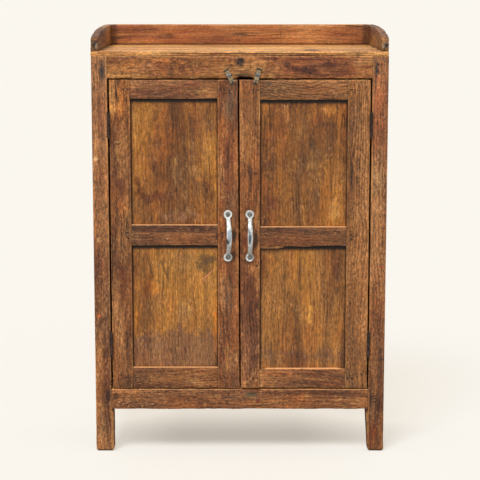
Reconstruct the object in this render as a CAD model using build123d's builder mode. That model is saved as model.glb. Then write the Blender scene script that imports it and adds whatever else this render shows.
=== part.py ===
from build123d import *
import os
from math import cos, radians, sin

# A two-door cupboard of reclaimed teak: four posts that run down as legs, rails tenoned between them,
# framed and panelled sides and doors, a planked top with a low gallery, and iron and zinc fittings.
# Millimetres. X runs to the right seen from the front, Y to the back, Z up; the floor is Z = 0.
# The origin is the bottom centre of the whole cabinet with its pulls.

os.makedirs("parts", exist_ok=True)

# ---- the carcass ----
width = 750.0  # over the posts
depth = 430.0  # over the posts
top_height = 1040.0  # floor to the planked top
leg_clear = 113.0  # floor to the bottom rails
post_side = 42.0
top_thick = 13.0
top_board_count = 3
board_gap = 0.4  # shrinkage gap between boards that lie side by side
top_rail_height = 56.0
bottom_rail_height = 55.0
front_rail_thick = 34.0
rear_rail_thick = 24.0
notch_width = 40.0  # the worn finger notch under the front top rail
notch_height = 5.0
notch_depth = 16.0
notch_x = 14.0

# ---- the framed sides ----
side_rail_thick = 30.0
middle_rail_height = 55.0
side_panel_thick = 10.0
side_panel_recess = 8.0

# ---- carcass joints ----
tenon_thick = 10.0
tenon_set = 10.0  # outer face of a post to the tenon's cheek
tenon_shoulder = 8.0
front_tenon_length = 28.0
tenon_web = 4.0  # wood left in a post between its two mortises
joint_play = 0.1  # round a tenon or a panel's cheeks
end_play = 0.6  # past the end of a tenon or the edge of a panel
groove_depth = 8.0
peg_diameter = 5.0
peg_play = 0.05
peg_pitch = 16.0  # between the two pegs of a carcass joint
peg_back_off = 14.0  # shoulder of a front or rear joint to its pegs
side_peg_back_off = 9.0
carcass_peg_length = 26.0

# ---- boards inside ----
floor_thick = 14.0
shelf_thick = 14.0
shelf_height = 575.0  # underside of the shelf
shelf_board_count = 3
back_thick = 12.0
back_board_count = 4
back_board_short = 3.0  # back boards stop this far inside the rails' outer edges
board_play = 0.5  # loose fit of a board beside a post or panel

# ---- the gallery ----
gallery_thick = 19.0
gallery_rise = 56.0
gallery_nose_rise = 31.0  # height of the side boards at the front
gallery_shoulder_rise = 54.0  # height where the slope ends
gallery_shoulder_back = 250.0  # from the front of the posts to where the slope ends
gallery_set_back = 4.0
gallery_nose_radius = 7.0

# ---- nails ----
nail_head = 6.0
nail_head_thick = 1.2
nail_shank = 3.0
nail_length = 30.0
nail_play = 0.05
ledge_nail_set = 6.0  # inner face of a side rail to the nails in it
end_nail_x = 300.0  # cabinet middle to the outer nails of the front and rear edges
gallery_nail_x = 150.0
gallery_nail_rises = (18.0, 40.0)

# ---- the doors ----
door_thick = 22.0
door_side_gap = 3.0
door_top_gap = 1.8
door_bottom_gap = 1.8
meeting_gap = 2.6
meeting_x_top = -3.4  # the line where the doors meet leans a little
meeting_x_bottom = 1.0
door_stop_play = 0.4  # back of a closed door to the floor and shelf
door_panel_thick = 9.0
door_panel_recess = 8.0
door_tenon_length = 30.0
door_peg_pitch = 11.0
door_peg_back_off = 12.0
left_door = {
    "hinge_stile": 54.0,
    "lock_edge": 56.7,  # cabinet middle to the lock stile's inner edge
    "top_rail": 49.0,
    "middle_drop": 29.5,  # underside of the shelf to the middle rail's lower edge
    "middle_rail": 55.0,
    "bottom_rail": 57.0,
}
right_door = {
    "hinge_stile": 58.0,
    "lock_edge": 51.7,
    "top_rail": 52.0,
    "middle_drop": 34.0,
    "middle_rail": 54.5,
    "bottom_rail": 53.5,
}

# ---- butt hinges ----
hinge_length = 63.5
hinge_above_sill = 119.0  # bottom of the door opening to the middle of the lower hinges
hinge_below_head = 116.5  # top of the door opening to the middle of the upper hinges
leaf_width = 20.0
leaf_thick = 1.4
knuckle_radius = 4.0
knuckle_count = 5
knuckle_play = 0.3
knuckle_stand_off = 0.2  # between the barrel and the face of the wood
hinge_pin_radius = 2.0
hinge_pin_play = 0.05
pin_head_radius = 2.7
pin_head_thick = 1.2
hinge_screw_head = 6.4
hinge_screw_shank = 3.0
hinge_screw_length = 15.0
hinge_screw_pitch = 22.0
hinge_screw_set = 11.0  # face of the wood to the screws

# ---- pulls ----
pull_reach = 30.0
pull_spacing = 111.0  # between its two screws
pull_drop = 4.0  # underside of the shelf to the pull's middle
pull_eye_diameter = 22.0
pull_eye_thick = 3.6
pull_eye_rim = 1.0  # rounding of the eye's outer edge
pull_neck = 9.5  # screw to the start of the bow
pull_bow_width = 13.5
pull_bow_thick = 6.4
pull_bow_end_width = 9.5
pull_bow_end_thick = 5.0
pull_screw_head = 11.5
pull_screw_shank = 4.0
pull_screw_length = 19.0
screw_play = 0.05
left_pull_x = -30.2
left_pull_lean = 8.0  # degrees that the bow leans to the right
right_pull_x = 25.5
right_pull_lean = 3.0

# ---- hasps ----
hasp_width = 13.0
hasp_thick = 1.5
hasp_clear = 1.2  # between the strap and the rail that it stands in front of
hasp_knuckle_radius = 2.4
hasp_pin_radius = 1.0
hasp_pin_play = 0.05
hasp_knuckle_play = 0.3
hasp_middle_knuckle = 4.6
hasp_leaf_length = 17.0
hasp_lip = 4.2  # how far the leaf's end is turned out
hasp_tail = 25.0  # pin to the strap's lower end
hasp_bend = 15.5  # pin to the bend that brings the strap to the door
hasp_nail_back = 20.5  # pin to the strap's nail
hasp_nail_length = 16.0
left_hasp = {"x": -27.5, "pin_rise": 9.5, "tilt": 28.0}  # the pin's rise above the door opening
right_hasp = {"x": 45.2, "pin_rise": 10.5, "tilt": -16.0}

# ---- worked out from the above ----
front = (pull_reach - depth) / 2
back = front + depth
half_width = width / 2
half_opening = half_width - post_side
post_top = top_height - top_thick
opening_low = leg_clear + bottom_rail_height
opening_high = post_top - top_rail_height
side_tenon_length = post_side - tenon_set - tenon_thick - tenon_web
rail_levels = {"bottom": (leg_clear, opening_low), "top": (opening_high, post_top)}
side_levels = {
    "bottom": rail_levels["bottom"],
    "middle": (shelf_height - middle_rail_height, shelf_height),
    "top": rail_levels["top"],
}
panel_levels = {"lower": ("bottom", "middle"), "upper": ("middle", "top")}
panel_inner = half_width - side_panel_recess - side_panel_thick
ledge_x = half_width - side_rail_thick + ledge_nail_set
stop_y = front + door_thick + door_stop_play
back_face = back - rear_rail_thick - back_thick
door_low = opening_low + door_bottom_gap
door_high = opening_high - door_top_gap
hinge_heights = (opening_low + hinge_above_sill, opening_high - hinge_below_head)
pull_height = shelf_height - pull_drop
hinge_x = half_opening - door_side_gap / 2
hinge_y = front - knuckle_radius - knuckle_stand_off
knuckle_length = (hinge_length - (knuckle_count - 1) * knuckle_play) / knuckle_count

sides = {"left": -1, "right": 1}
ends = {"front": -1, "rear": 1}
centre_y = (front + back) / 2


def span(a, b):
    return min(a, b), max(a, b)


def from_side(side, outer, inner):
    # a stretch of X, given as two distances in from the cabinet's outer side face
    return span(side * (half_width - outer), side * (half_width - inner))


def from_end(end, outer, inner):
    # a stretch of Y, given as two distances in from the front or rear face of the posts
    return span(centre_y + end * (depth / 2 - outer), centre_y + end * (depth / 2 - inner))


def grow(stretch, play):
    return stretch[0] - play, stretch[1] + play


def block(x, y, z, mode=Mode.ADD):
    # a straight bar between two values along each axis
    with BuildSketch(Plane.XY.offset(z[0])) as section:
        with Locations(((x[0] + x[1]) / 2, (y[0] + y[1]) / 2)):
            Rectangle(x[1] - x[0], y[1] - y[0])
    extrude(section.sketch, amount=z[1] - z[0], mode=mode)


def rod(seat, radius, length, mode=Mode.ADD):
    # a round bar that runs from the seat's plane against its normal
    with BuildSketch(seat) as section:
        Circle(radius)
    extrude(section.sketch, amount=-length, mode=mode)


def nail(seat, length=nail_length, play=0.0, mode=Mode.ADD):
    # head flush with the seat's plane, shank driven against its normal
    rod(seat, nail_head / 2 + play, nail_head_thick + play, mode)
    rod(seat, nail_shank / 2 + play, length + play, mode)


def screw(seat, head, shank, length, play=0.0, mode=Mode.ADD):
    # countersunk at 90 degrees, the head flush with the seat's plane
    side_plane = Plane(seat.origin, x_dir=seat.x_dir, z_dir=-seat.y_dir)
    cone = (head - shank) / 2
    with BuildSketch(side_plane) as profile:
        with BuildLine():
            Polyline(
                (0, 0),
                (head / 2 + play, 0),
                (shank / 2 + play, -cone),
                (shank / 2 + play, -length - play),
                (0, -length - play),
                close=True,
            )
        make_face()
    revolve(profile.sketch, axis=Axis(seat.origin, seat.z_dir), mode=mode)


def keep(piece, name):
    piece.part.label = name
    export_step(piece.part, f"parts/{name}.step")


# ---- where the pegs, nails and screws sit ----
def level_middle(level):
    return (level[0] + level[1]) / 2


def end_peg_seats(side, end, level):
    # on the front or rear face of a post, over the tenon of a front or rear rail
    x = side * (half_opening + peg_back_off)
    heights = (level_middle(level) - peg_pitch / 2, level_middle(level) + peg_pitch / 2)
    face = centre_y + end * depth / 2
    return [Plane((x, face, z), x_dir=(1, 0, 0), z_dir=(0, end, 0)) for z in heights]


def side_peg_seats(side, end, level):
    # on the outer side face of a post, over the tenon of a side rail
    y = centre_y + end * (depth / 2 - post_side + side_peg_back_off)
    heights = (level_middle(level) - peg_pitch / 2, level_middle(level) + peg_pitch / 2)
    return [Plane((side * half_width, y, z), x_dir=(0, 1, 0), z_dir=(side, 0, 0)) for z in heights]


def board_spans(low, high, count):
    # equal boards between two values, a shrinkage gap between neighbours
    pitch = (high - low + board_gap) / count
    return [(low + i * pitch, low + (i + 1) * pitch - board_gap) for i in range(count)]


top_spans = board_spans(front, back, top_board_count)
shelf_spans = board_spans(stop_y, back_face - board_play, shelf_board_count)
back_spans = board_spans(-half_opening + board_play, half_opening - board_play, back_board_count)
top_names = ["top_front_board", "top_middle_board", "top_rear_board"]

facing_up = (0, 0, 1)
edge_nails = {
    "front": [Plane((x, front + front_rail_thick / 2, top_height), z_dir=facing_up)
              for x in (-end_nail_x, 0, end_nail_x)],
    "rear": [Plane((x, back - rear_rail_thick / 2, top_height), z_dir=facing_up)
             for x in (-end_nail_x, 0, end_nail_x)],
}
gallery_y = back - gallery_thick / 2
gallery_back_seats = [Plane((x, gallery_y, post_top), x_dir=(1, 0, 0), z_dir=(0, 0, -1))
                      for x in (-gallery_nail_x, gallery_nail_x)]


def ledge_nail_seats(side, spans, height):
    return [Plane((side * ledge_x, sum(y) / 2, height), z_dir=facing_up) for y in spans]


def gallery_side_seats(side):
    # driven up through the first and last planks of the top
    x = side * (half_width - gallery_thick / 2)
    spans = (top_spans[0], top_spans[-1])
    return [Plane((x, sum(y) / 2, post_top), x_dir=(1, 0, 0), z_dir=(0, 0, -1)) for y in spans]


def gallery_corner_seats(side):
    # driven through a side board into the end of the back board
    return [Plane((side * half_width, gallery_y, top_height + rise), x_dir=(0, 1, 0), z_dir=(side, 0, 0))
            for rise in gallery_nail_rises]


def back_nail_seats(level):
    z = level_middle(rail_levels[level])
    return [Plane((sum(x) / 2, back_face, z), x_dir=(1, 0, 0), z_dir=(0, -1, 0)) for x in back_spans]


def hinge_screw_seats(side, owner):
    # on the inner face of a leaf, the normal pointing away from the wood that it is screwed to
    if owner == "post":
        x, out = half_opening - leaf_thick, -side
    else:
        x, out = half_opening - door_side_gap + leaf_thick, side
    return [
        Plane((side * x, front + hinge_screw_set, z + step), x_dir=(0, 1, 0), z_dir=(out, 0, 0))
        for z in hinge_heights
        for step in (-hinge_screw_pitch, 0, hinge_screw_pitch)
    ]


# ---- posts ----
def post(side, end):
    inner = (post_side, post_side - groove_depth)
    with BuildPart() as piece:
        block(from_side(side, 0, post_side), from_end(end, 0, post_side), (0, post_top))
        for level in rail_levels.values():
            low, high = level
            block(
                from_side(side, post_side - front_tenon_length - end_play, post_side),
                grow(from_end(end, tenon_set, tenon_set + tenon_thick), joint_play),
                grow((low + tenon_shoulder, high - tenon_shoulder), joint_play),
                Mode.SUBTRACT,
            )
            for seat in end_peg_seats(side, end, level):
                rod(seat, peg_diameter / 2 + peg_play, carcass_peg_length + peg_play, Mode.SUBTRACT)
        for level in side_levels.values():
            low, high = level
            block(
                grow(from_side(side, tenon_set, tenon_set + tenon_thick), joint_play),
                from_end(end, post_side - side_tenon_length - end_play, post_side),
                grow((low + tenon_shoulder, high - tenon_shoulder), joint_play),
                Mode.SUBTRACT,
            )
            for seat in side_peg_seats(side, end, level):
                rod(seat, peg_diameter / 2 + peg_play, carcass_peg_length + peg_play, Mode.SUBTRACT)
        for below, above in panel_levels.values():
            block(
                grow(from_side(side, side_panel_recess, side_panel_recess + side_panel_thick), joint_play),
                from_end(end, *inner),
                grow((side_levels[below][1], side_levels[above][0]), groove_depth),
                Mode.SUBTRACT,
            )
        if end == ends["front"]:
            for seat in hinge_screw_seats(side, "post"):
                screw(seat, hinge_screw_head, hinge_screw_shank, hinge_screw_length, screw_play,
                      Mode.SUBTRACT)
    return piece


for end_name, end in ends.items():
    for side_name, side in sides.items():
        keep(post(side, end), f"{end_name}_{side_name}_post")


# ---- front and rear rails ----
def cross_rail(end, level_name):
    level = rail_levels[level_name]
    thick = front_rail_thick if end == ends["front"] else rear_rail_thick
    with BuildPart() as piece:
        block((-half_opening, half_opening), from_end(end, 0, thick), level)
        for side in sides.values():
            block(
                from_side(side, post_side - front_tenon_length, post_side),
                from_end(end, tenon_set, tenon_set + tenon_thick),
                (level[0] + tenon_shoulder, level[1] - tenon_shoulder),
            )
            for seat in end_peg_seats(side, end, level):
                rod(seat, peg_diameter / 2 + peg_play, carcass_peg_length, Mode.SUBTRACT)
        if level_name == "top":
            for seat in edge_nails["front" if end == ends["front"] else "rear"]:
                nail(seat, play=nail_play, mode=Mode.SUBTRACT)
            if end == ends["rear"]:
                for seat in gallery_back_seats:
                    rod(seat, nail_head / 2 + nail_play, nail_head_thick + nail_play, Mode.SUBTRACT)
        if end == ends["rear"]:
            for seat in back_nail_seats(level_name):
                nail(seat, play=nail_play, mode=Mode.SUBTRACT)
        if end == ends["front"] and level_name == "top":
            with BuildSketch(Plane.XZ.offset(-front)) as notch:
                with BuildLine():
                    ThreePointArc(
                        (notch_x - notch_width / 2, level[0]),
                        (notch_x, level[0] + notch_height),
                        (notch_x + notch_width / 2, level[0]),
                    )
                    Line((notch_x + notch_width / 2, level[0]), (notch_x - notch_width / 2, level[0]))
                make_face()
            extrude(notch.sketch, amount=-notch_depth, mode=Mode.SUBTRACT)
    return piece


for end_name, end in ends.items():
    for level_name in rail_levels:
        keep(cross_rail(end, level_name), f"{end_name}_{level_name}_rail")


# ---- framed sides ----
def side_rail(side, level_name):
    level = side_levels[level_name]
    middle_y = from_end(ends["front"], post_side, 0)[1], from_end(ends["rear"], post_side, 0)[0]
    with BuildPart() as piece:
        block(from_side(side, 0, side_rail_thick), middle_y, level)
        for end in ends.values():
            block(
                from_side(side, tenon_set, tenon_set + tenon_thick),
                from_end(end, post_side - side_tenon_length, post_side),
                (level[0] + tenon_shoulder, level[1] - tenon_shoulder),
            )
            for seat in side_peg_seats(side, end, level):
                rod(seat, peg_diameter / 2 + peg_play, carcass_peg_length, Mode.SUBTRACT)
        groove_x = grow(
            from_side(side, side_panel_recess, side_panel_recess + side_panel_thick), joint_play
        )
        if level_name != "top":
            block(groove_x, middle_y, (level[1] - groove_depth, level[1]), Mode.SUBTRACT)
            board_thick = floor_thick if level_name == "bottom" else shelf_thick
            for seat in ledge_nail_seats(side, shelf_spans, level[1] + board_thick):
                nail(seat, play=nail_play, mode=Mode.SUBTRACT)
        else:
            for seat in ledge_nail_seats(side, top_spans, top_height):
                nail(seat, play=nail_play, mode=Mode.SUBTRACT)
        if level_name != "bottom":
            block(groove_x, middle_y, (level[0], level[0] + groove_depth), Mode.SUBTRACT)
    return piece


def side_panel(side, panel_name):
    below, above = panel_levels[panel_name]
    lap = groove_depth - end_play
    with BuildPart() as piece:
        block(
            from_side(side, side_panel_recess, side_panel_recess + side_panel_thick),
            (front + post_side - lap, back - post_side + lap),
            (side_levels[below][1] - lap, side_levels[above][0] + lap),
        )
    return piece


for side_name, side in sides.items():
    for level_name in side_levels:
        keep(side_rail(side, level_name), f"{side_name}_side_{level_name}_rail")
    for panel_name in panel_levels:
        keep(side_panel(side, panel_name), f"{side_name}_side_{panel_name}_panel")


# ---- floor, shelf and back ----
def ledge_boards(low, thick):
    # boards that lie on the side rails and are notched round the posts
    reach = panel_inner - board_play
    with BuildPart() as piece:
        for y in shelf_spans:
            block((-reach, reach), y, (low, low + thick))
        for side in sides.values():
            corner_x = span(side * (half_opening - board_play), side * (half_width + board_play))
            for end in ends.values():
                block(corner_x, from_end(end, -board_play, post_side + board_play), (low, low + thick),
                      Mode.SUBTRACT)
            for seat in ledge_nail_seats(side, shelf_spans, low + thick):
                nail(seat, play=nail_play, mode=Mode.SUBTRACT)
    return piece


keep(ledge_boards(opening_low, floor_thick), "floor_boards")
keep(ledge_boards(shelf_height, shelf_thick), "shelf_boards")

with BuildPart() as back_boards:
    for x in back_spans:
        block(x, (back_face, back_face + back_thick),
              (leg_clear + back_board_short, post_top - back_board_short))
    for level_name in rail_levels:
        for seat in back_nail_seats(level_name):
            nail(seat, play=nail_play, mode=Mode.SUBTRACT)
keep(back_boards, "back_boards")


# ---- top and gallery ----
def top_board(index):
    y = top_spans[index]
    with BuildPart() as piece:
        block((-half_width, half_width), y, (post_top, top_height))
        seats = []
        for side in sides.values():
            seats += ledge_nail_seats(side, [y], top_height)
        if index == 0:
            seats += edge_nails["front"]
        if index == top_board_count - 1:
            seats += edge_nails["rear"] + gallery_back_seats
        if index in (0, top_board_count - 1):
            for side in sides.values():
                seats += [seat for seat in gallery_side_seats(side) if y[0] < seat.origin.Y < y[1]]
        for seat in seats:
            nail(seat, play=nail_play, mode=Mode.SUBTRACT)
    return piece


for index, name in enumerate(top_names):
    keep(top_board(index), name)


def gallery_side(side):
    x = from_side(side, 0, gallery_thick)
    nose = front + gallery_set_back
    with BuildPart() as piece:
        with BuildSketch(Plane.YZ.offset(x[0])) as profile:
            with BuildLine():
                Polyline(
                    (nose, top_height),
                    (nose, top_height + gallery_nose_rise),
                    (front + gallery_shoulder_back, top_height + gallery_shoulder_rise),
                    (back, top_height + gallery_rise),
                    (back, top_height),
                    close=True,
                )
            make_face()
            nose_top = profile.vertices().filter_by_position(
                Axis.X, nose, nose).sort_by(Axis.Y)[-1]
            fillet(nose_top, gallery_nose_radius)
        extrude(profile.sketch, amount=gallery_thick)
        for seat in gallery_side_seats(side) + gallery_corner_seats(side):
            nail(seat, play=nail_play, mode=Mode.SUBTRACT)
    return piece


for side_name, side in sides.items():
    keep(gallery_side(side), f"gallery_{side_name}_board")

with BuildPart() as gallery_back:
    inner_x = half_width - gallery_thick
    block((-inner_x, inner_x), (back - gallery_thick, back), (top_height, top_height + gallery_rise))
    for side in sides.values():
        for seat in gallery_corner_seats(side):
            nail(seat, play=nail_play, mode=Mode.SUBTRACT)
    for seat in gallery_back_seats:
        nail(seat, play=nail_play, mode=Mode.SUBTRACT)
keep(gallery_back, "gallery_back_board")

# ---- carcass pegs and nails ----
with BuildPart() as carcass_pegs:
    for side in sides.values():
        for end in ends.values():
            for level in rail_levels.values():
                for seat in end_peg_seats(side, end, level):
                    rod(seat, peg_diameter / 2, carcass_peg_length)
            for level in side_levels.values():
                for seat in side_peg_seats(side, end, level):
                    rod(seat, peg_diameter / 2, carcass_peg_length)
keep(carcass_pegs, "carcass_pegs")

with BuildPart() as carcass_nails:
    nail_seats = edge_nails["front"] + edge_nails["rear"] + gallery_back_seats
    for side in sides.values():
        nail_seats += ledge_nail_seats(side, top_spans, top_height)
        nail_seats += ledge_nail_seats(side, shelf_spans, opening_low + floor_thick)
        nail_seats += ledge_nail_seats(side, shelf_spans, shelf_height + shelf_thick)
        nail_seats += gallery_side_seats(side) + gallery_corner_seats(side)
    for level_name in rail_levels:
        nail_seats += back_nail_seats(level_name)
    for seat in nail_seats:
        nail(seat)
keep(carcass_nails, "carcass_nails")


# ---- hinges ----
def hinge_leaf(side, owner, middle_z):
    # one leaf of a butt hinge: a plate on the wood, and every other knuckle of the barrel
    if owner == "post":
        plate_x = span(side * half_opening, side * (half_opening - leaf_thick))
        own_knuckles = range(0, knuckle_count, 2)
    else:
        wood_x = half_opening - door_side_gap
        plate_x = span(side * wood_x, side * (wood_x + leaf_thick))
        own_knuckles = range(1, knuckle_count, 2)
    low = middle_z - hinge_length / 2
    block(plate_x, (front, front + leaf_width), (low, low + hinge_length))
    for i in own_knuckles:
        start = low + i * (knuckle_length + knuckle_play)
        barrel_top = Plane((side * hinge_x, hinge_y, start + knuckle_length), z_dir=facing_up)
        rod(barrel_top, knuckle_radius, knuckle_length)
        block(plate_x, (hinge_y, front), (start, start + knuckle_length))
    bore_top = Plane((side * hinge_x, hinge_y, low + hinge_length), z_dir=facing_up)
    rod(bore_top, hinge_pin_radius + hinge_pin_play, hinge_length, Mode.SUBTRACT)


def hinge_leaves(owner, owner_sides):
    with BuildPart() as piece:
        for side in owner_sides:
            for middle_z in hinge_heights:
                hinge_leaf(side, owner, middle_z)
            for seat in hinge_screw_seats(side, owner):
                screw(seat, hinge_screw_head, hinge_screw_shank, hinge_screw_length, screw_play,
                      Mode.SUBTRACT)
    return piece


keep(hinge_leaves("post", sides.values()), "post_hinge_leaves")

with BuildPart() as hinge_pins:
    for side in sides.values():
        for middle_z in hinge_heights:
            head_z = middle_z + hinge_length / 2 + pin_head_thick
            pin_top = Plane((side * hinge_x, hinge_y, head_z), z_dir=facing_up)
            rod(pin_top, hinge_pin_radius, hinge_length + 2 * pin_head_thick)
            rod(pin_top, pin_head_radius, pin_head_thick)
            rod(pin_top.offset(-hinge_length - pin_head_thick), pin_head_radius, pin_head_thick)
keep(hinge_pins, "hinge_pins")

with BuildPart() as post_hinge_screws:
    for side in sides.values():
        for seat in hinge_screw_seats(side, "post"):
            screw(seat, hinge_screw_head, hinge_screw_shank, hinge_screw_length)
keep(post_hinge_screws, "post_hinge_screws")


# ---- door fittings ----
def pull_seats(pull_x):
    # on the front faces of the pull's two eyes
    return [
        Plane((pull_x, front - pull_eye_thick, pull_height + step), x_dir=(1, 0, 0), z_dir=(0, -1, 0))
        for step in (-pull_spacing / 2, pull_spacing / 2)
    ]


def pull(pull_x, lean):
    out = (sin(radians(lean)), -cos(radians(lean)), 0)
    bow_plane = Plane((pull_x, front, pull_height), x_dir=out, z_dir=(out[1], -out[0], 0))
    bow_half = pull_spacing / 2 - pull_neck
    start_out = pull_eye_thick - pull_eye_rim
    crown_out = pull_reach - pull_bow_thick / 2
    with BuildPart() as piece:
        for seat in pull_seats(pull_x):
            rod(seat, pull_eye_diameter / 2, pull_eye_thick)
        fillet(piece.faces().group_by(Axis.Y)[0].edges(), pull_eye_rim)
        with BuildLine(bow_plane) as path:
            ThreePointArc((start_out, -bow_half), (crown_out, 0), (start_out, bow_half))
        sections = []
        for share, wide, thick in (
            (0, pull_bow_end_width, pull_bow_end_thick),
            (0.5, pull_bow_width, pull_bow_thick),
            (1, pull_bow_end_width, pull_bow_end_thick),
        ):
            across = Plane(path.line @ share, x_dir=bow_plane.z_dir, z_dir=path.line % share)
            with BuildSketch(across) as section:
                Ellipse(wide / 2, thick / 2)
            sections.append(section.sketch)
        sweep(sections, path=path.line, multisection=True)
        for seat in pull_seats(pull_x):
            screw(seat, pull_screw_head, pull_screw_shank, pull_screw_length, screw_play, Mode.SUBTRACT)
    return piece


def hasp_plane(hasp):
    # X across the strap, Y up along it, Z out of the door; its origin is over the pin
    tilt = radians(hasp["tilt"])
    pin_height = opening_high + hasp["pin_rise"]
    return Plane((hasp["x"], front, pin_height), x_dir=(cos(tilt), 0, sin(tilt)), z_dir=(0, -1, 0))


def hasp_nail_seat(hasp):
    plane = hasp_plane(hasp)
    head_face = plane.origin - plane.y_dir * hasp_nail_back + plane.z_dir * (hasp_thick + nail_head_thick)
    return Plane(head_face, x_dir=plane.x_dir, z_dir=plane.z_dir)


def hasp_strip(hasp, points, low, high):
    # a strip with a bent profile, given as (out of the door, up the strap), between two places across it
    plane = hasp_plane(hasp)
    edge = Plane(plane.origin + plane.x_dir * low, x_dir=plane.y_dir, z_dir=plane.x_dir)
    with BuildSketch(edge) as profile:
        with BuildLine():
            Polyline(*[(up, out) for out, up in points], close=True)
        make_face()
    extrude(profile.sketch, amount=high - low)


def hasp_barrel(hasp, radius, low, high, mode=Mode.ADD):
    plane = hasp_plane(hasp)
    centre_out = hasp_clear + hasp_knuckle_radius
    end_point = plane.origin + plane.z_dir * centre_out + plane.x_dir * high
    rod(Plane(end_point, x_dir=plane.z_dir, z_dir=plane.x_dir), radius, high - low, mode)


hasp_half = hasp_width / 2
hasp_inner = hasp_middle_knuckle / 2
hasp_outer_knuckles = (
    (-hasp_half, -hasp_inner - hasp_knuckle_play),
    (hasp_inner + hasp_knuckle_play, hasp_half),
)
hasp_lap = hasp_knuckle_radius + hasp_knuckle_play


def hasp_plate(hasp):
    over = hasp_clear + hasp_thick
    with BuildPart() as piece:
        hasp_strip(
            hasp,
            [
                (0, -hasp_tail),
                (hasp_thick, -hasp_tail),
                (hasp_thick, -hasp_bend),
                (over, -hasp_bend + hasp_thick),
                (over, -hasp_lap),
                (hasp_clear, -hasp_lap),
                (hasp_clear, -hasp_bend + hasp_thick),
                (0, -hasp_bend),
            ],
            -hasp_half,
            hasp_half,
        )
        for low, high in hasp_outer_knuckles:
            hasp_strip(
                hasp,
                [(hasp_clear, -hasp_lap), (over, -hasp_lap), (over, 0), (hasp_clear, 0)],
                low,
                high,
            )
            hasp_barrel(hasp, hasp_knuckle_radius, low, high)
        hasp_barrel(hasp, hasp_pin_radius + hasp_pin_play, -hasp_half, hasp_half, Mode.SUBTRACT)
        nail(hasp_nail_seat(hasp), hasp_nail_length, nail_play, Mode.SUBTRACT)
    return piece


def hasp_leaf(hasp):
    over = hasp_clear + hasp_thick
    lip_out = hasp_clear + hasp_lip
    with BuildPart() as piece:
        hasp_strip(
            hasp,
            [
                (hasp_clear, hasp_lap),
                (hasp_clear, hasp_leaf_length),
                (lip_out, hasp_leaf_length),
                (lip_out, hasp_leaf_length - hasp_thick),
                (over, hasp_leaf_length - hasp_thick),
                (over, hasp_lap),
            ],
            -hasp_half,
            hasp_half,
        )
        hasp_strip(
            hasp,
            [(hasp_clear, 0), (over, 0), (over, hasp_lap), (hasp_clear, hasp_lap)],
            -hasp_inner,
            hasp_inner,
        )
        hasp_barrel(hasp, hasp_knuckle_radius, -hasp_inner, hasp_inner)
        hasp_barrel(hasp, hasp_pin_radius + hasp_pin_play, -hasp_half, hasp_half, Mode.SUBTRACT)
    return piece


def hasp_pin(hasp):
    with BuildPart() as piece:
        hasp_barrel(hasp, hasp_pin_radius, -hasp_half, hasp_half)
    return piece


# ---- doors ----
def meeting_x(z):
    share = (z - opening_low) / (opening_high - opening_low)
    return meeting_x_bottom + share * (meeting_x_top - meeting_x_bottom)


def door_layout(side, sizes):
    # the stretches of X, Y and Z that the door's pieces share
    hinge_edge = half_opening - door_side_gap
    hinge_inner = hinge_edge - sizes["hinge_stile"]
    lock_inner = sizes["lock_edge"]
    middle_low = shelf_height - sizes["middle_drop"]
    return {
        "y": (front, front + door_thick),
        "groove_y": (front + door_panel_recess, front + door_panel_recess + door_panel_thick),
        "hinge_x": span(side * hinge_edge, side * hinge_inner),
        "between_x": span(side * hinge_inner, side * lock_inner),
        "hinge_inner": side * hinge_inner,
        "lock_inner": side * lock_inner,
        "rails": {
            "bottom": (door_low, door_low + sizes["bottom_rail"]),
            "middle": (middle_low, middle_low + sizes["middle_rail"]),
            "top": (door_high - sizes["top_rail"], door_high),
        },
    }


def door_peg_seats(side, layout, stile, level_name):
    # two pegs side by side at the corners, one over the other at the middle rail
    towards = side if stile == "hinge" else -side
    start = layout[f"{stile}_inner"]
    z = level_middle(layout["rails"][level_name])
    if level_name == "middle":
        places = [(door_peg_back_off, -door_peg_pitch / 2), (door_peg_back_off, door_peg_pitch / 2)]
    else:
        places = [(door_peg_back_off - door_peg_pitch / 2, 0), (door_peg_back_off + door_peg_pitch / 2, 0)]
    return [
        Plane((start + towards * along, front, z + up), x_dir=(1, 0, 0), z_dir=(0, -1, 0))
        for along, up in places
    ]


def cut_pegs(seats):
    for seat in seats:
        rod(seat, peg_diameter / 2 + peg_play, door_thick, Mode.SUBTRACT)


def cut_stile_joints(side, layout, stile):
    # mortises for the three rails, the grooves of the two panels, and the peg holes
    towards = side if stile == "hinge" else -side
    start = layout[f"{stile}_inner"]
    groove_y = grow(layout["groove_y"], joint_play)
    for level_name, (low, high) in layout["rails"].items():
        block(
            span(start, start + towards * (door_tenon_length + end_play)),
            groove_y,
            grow((low + tenon_shoulder, high - tenon_shoulder), joint_play),
            Mode.SUBTRACT,
        )
        cut_pegs(door_peg_seats(side, layout, stile, level_name))
    for below, above in panel_levels.values():
        block(
            span(start, start + towards * groove_depth),
            groove_y,
            grow((layout["rails"][below][1], layout["rails"][above][0]), groove_depth),
            Mode.SUBTRACT,
        )


def door_hinge_stile(side, layout):
    with BuildPart() as piece:
        block(layout["hinge_x"], layout["y"], (door_low, door_high))
        cut_stile_joints(side, layout, "hinge")
        for seat in hinge_screw_seats(side, "door"):
            screw(seat, hinge_screw_head, hinge_screw_shank, hinge_screw_length, screw_play, Mode.SUBTRACT)
    return piece


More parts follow.
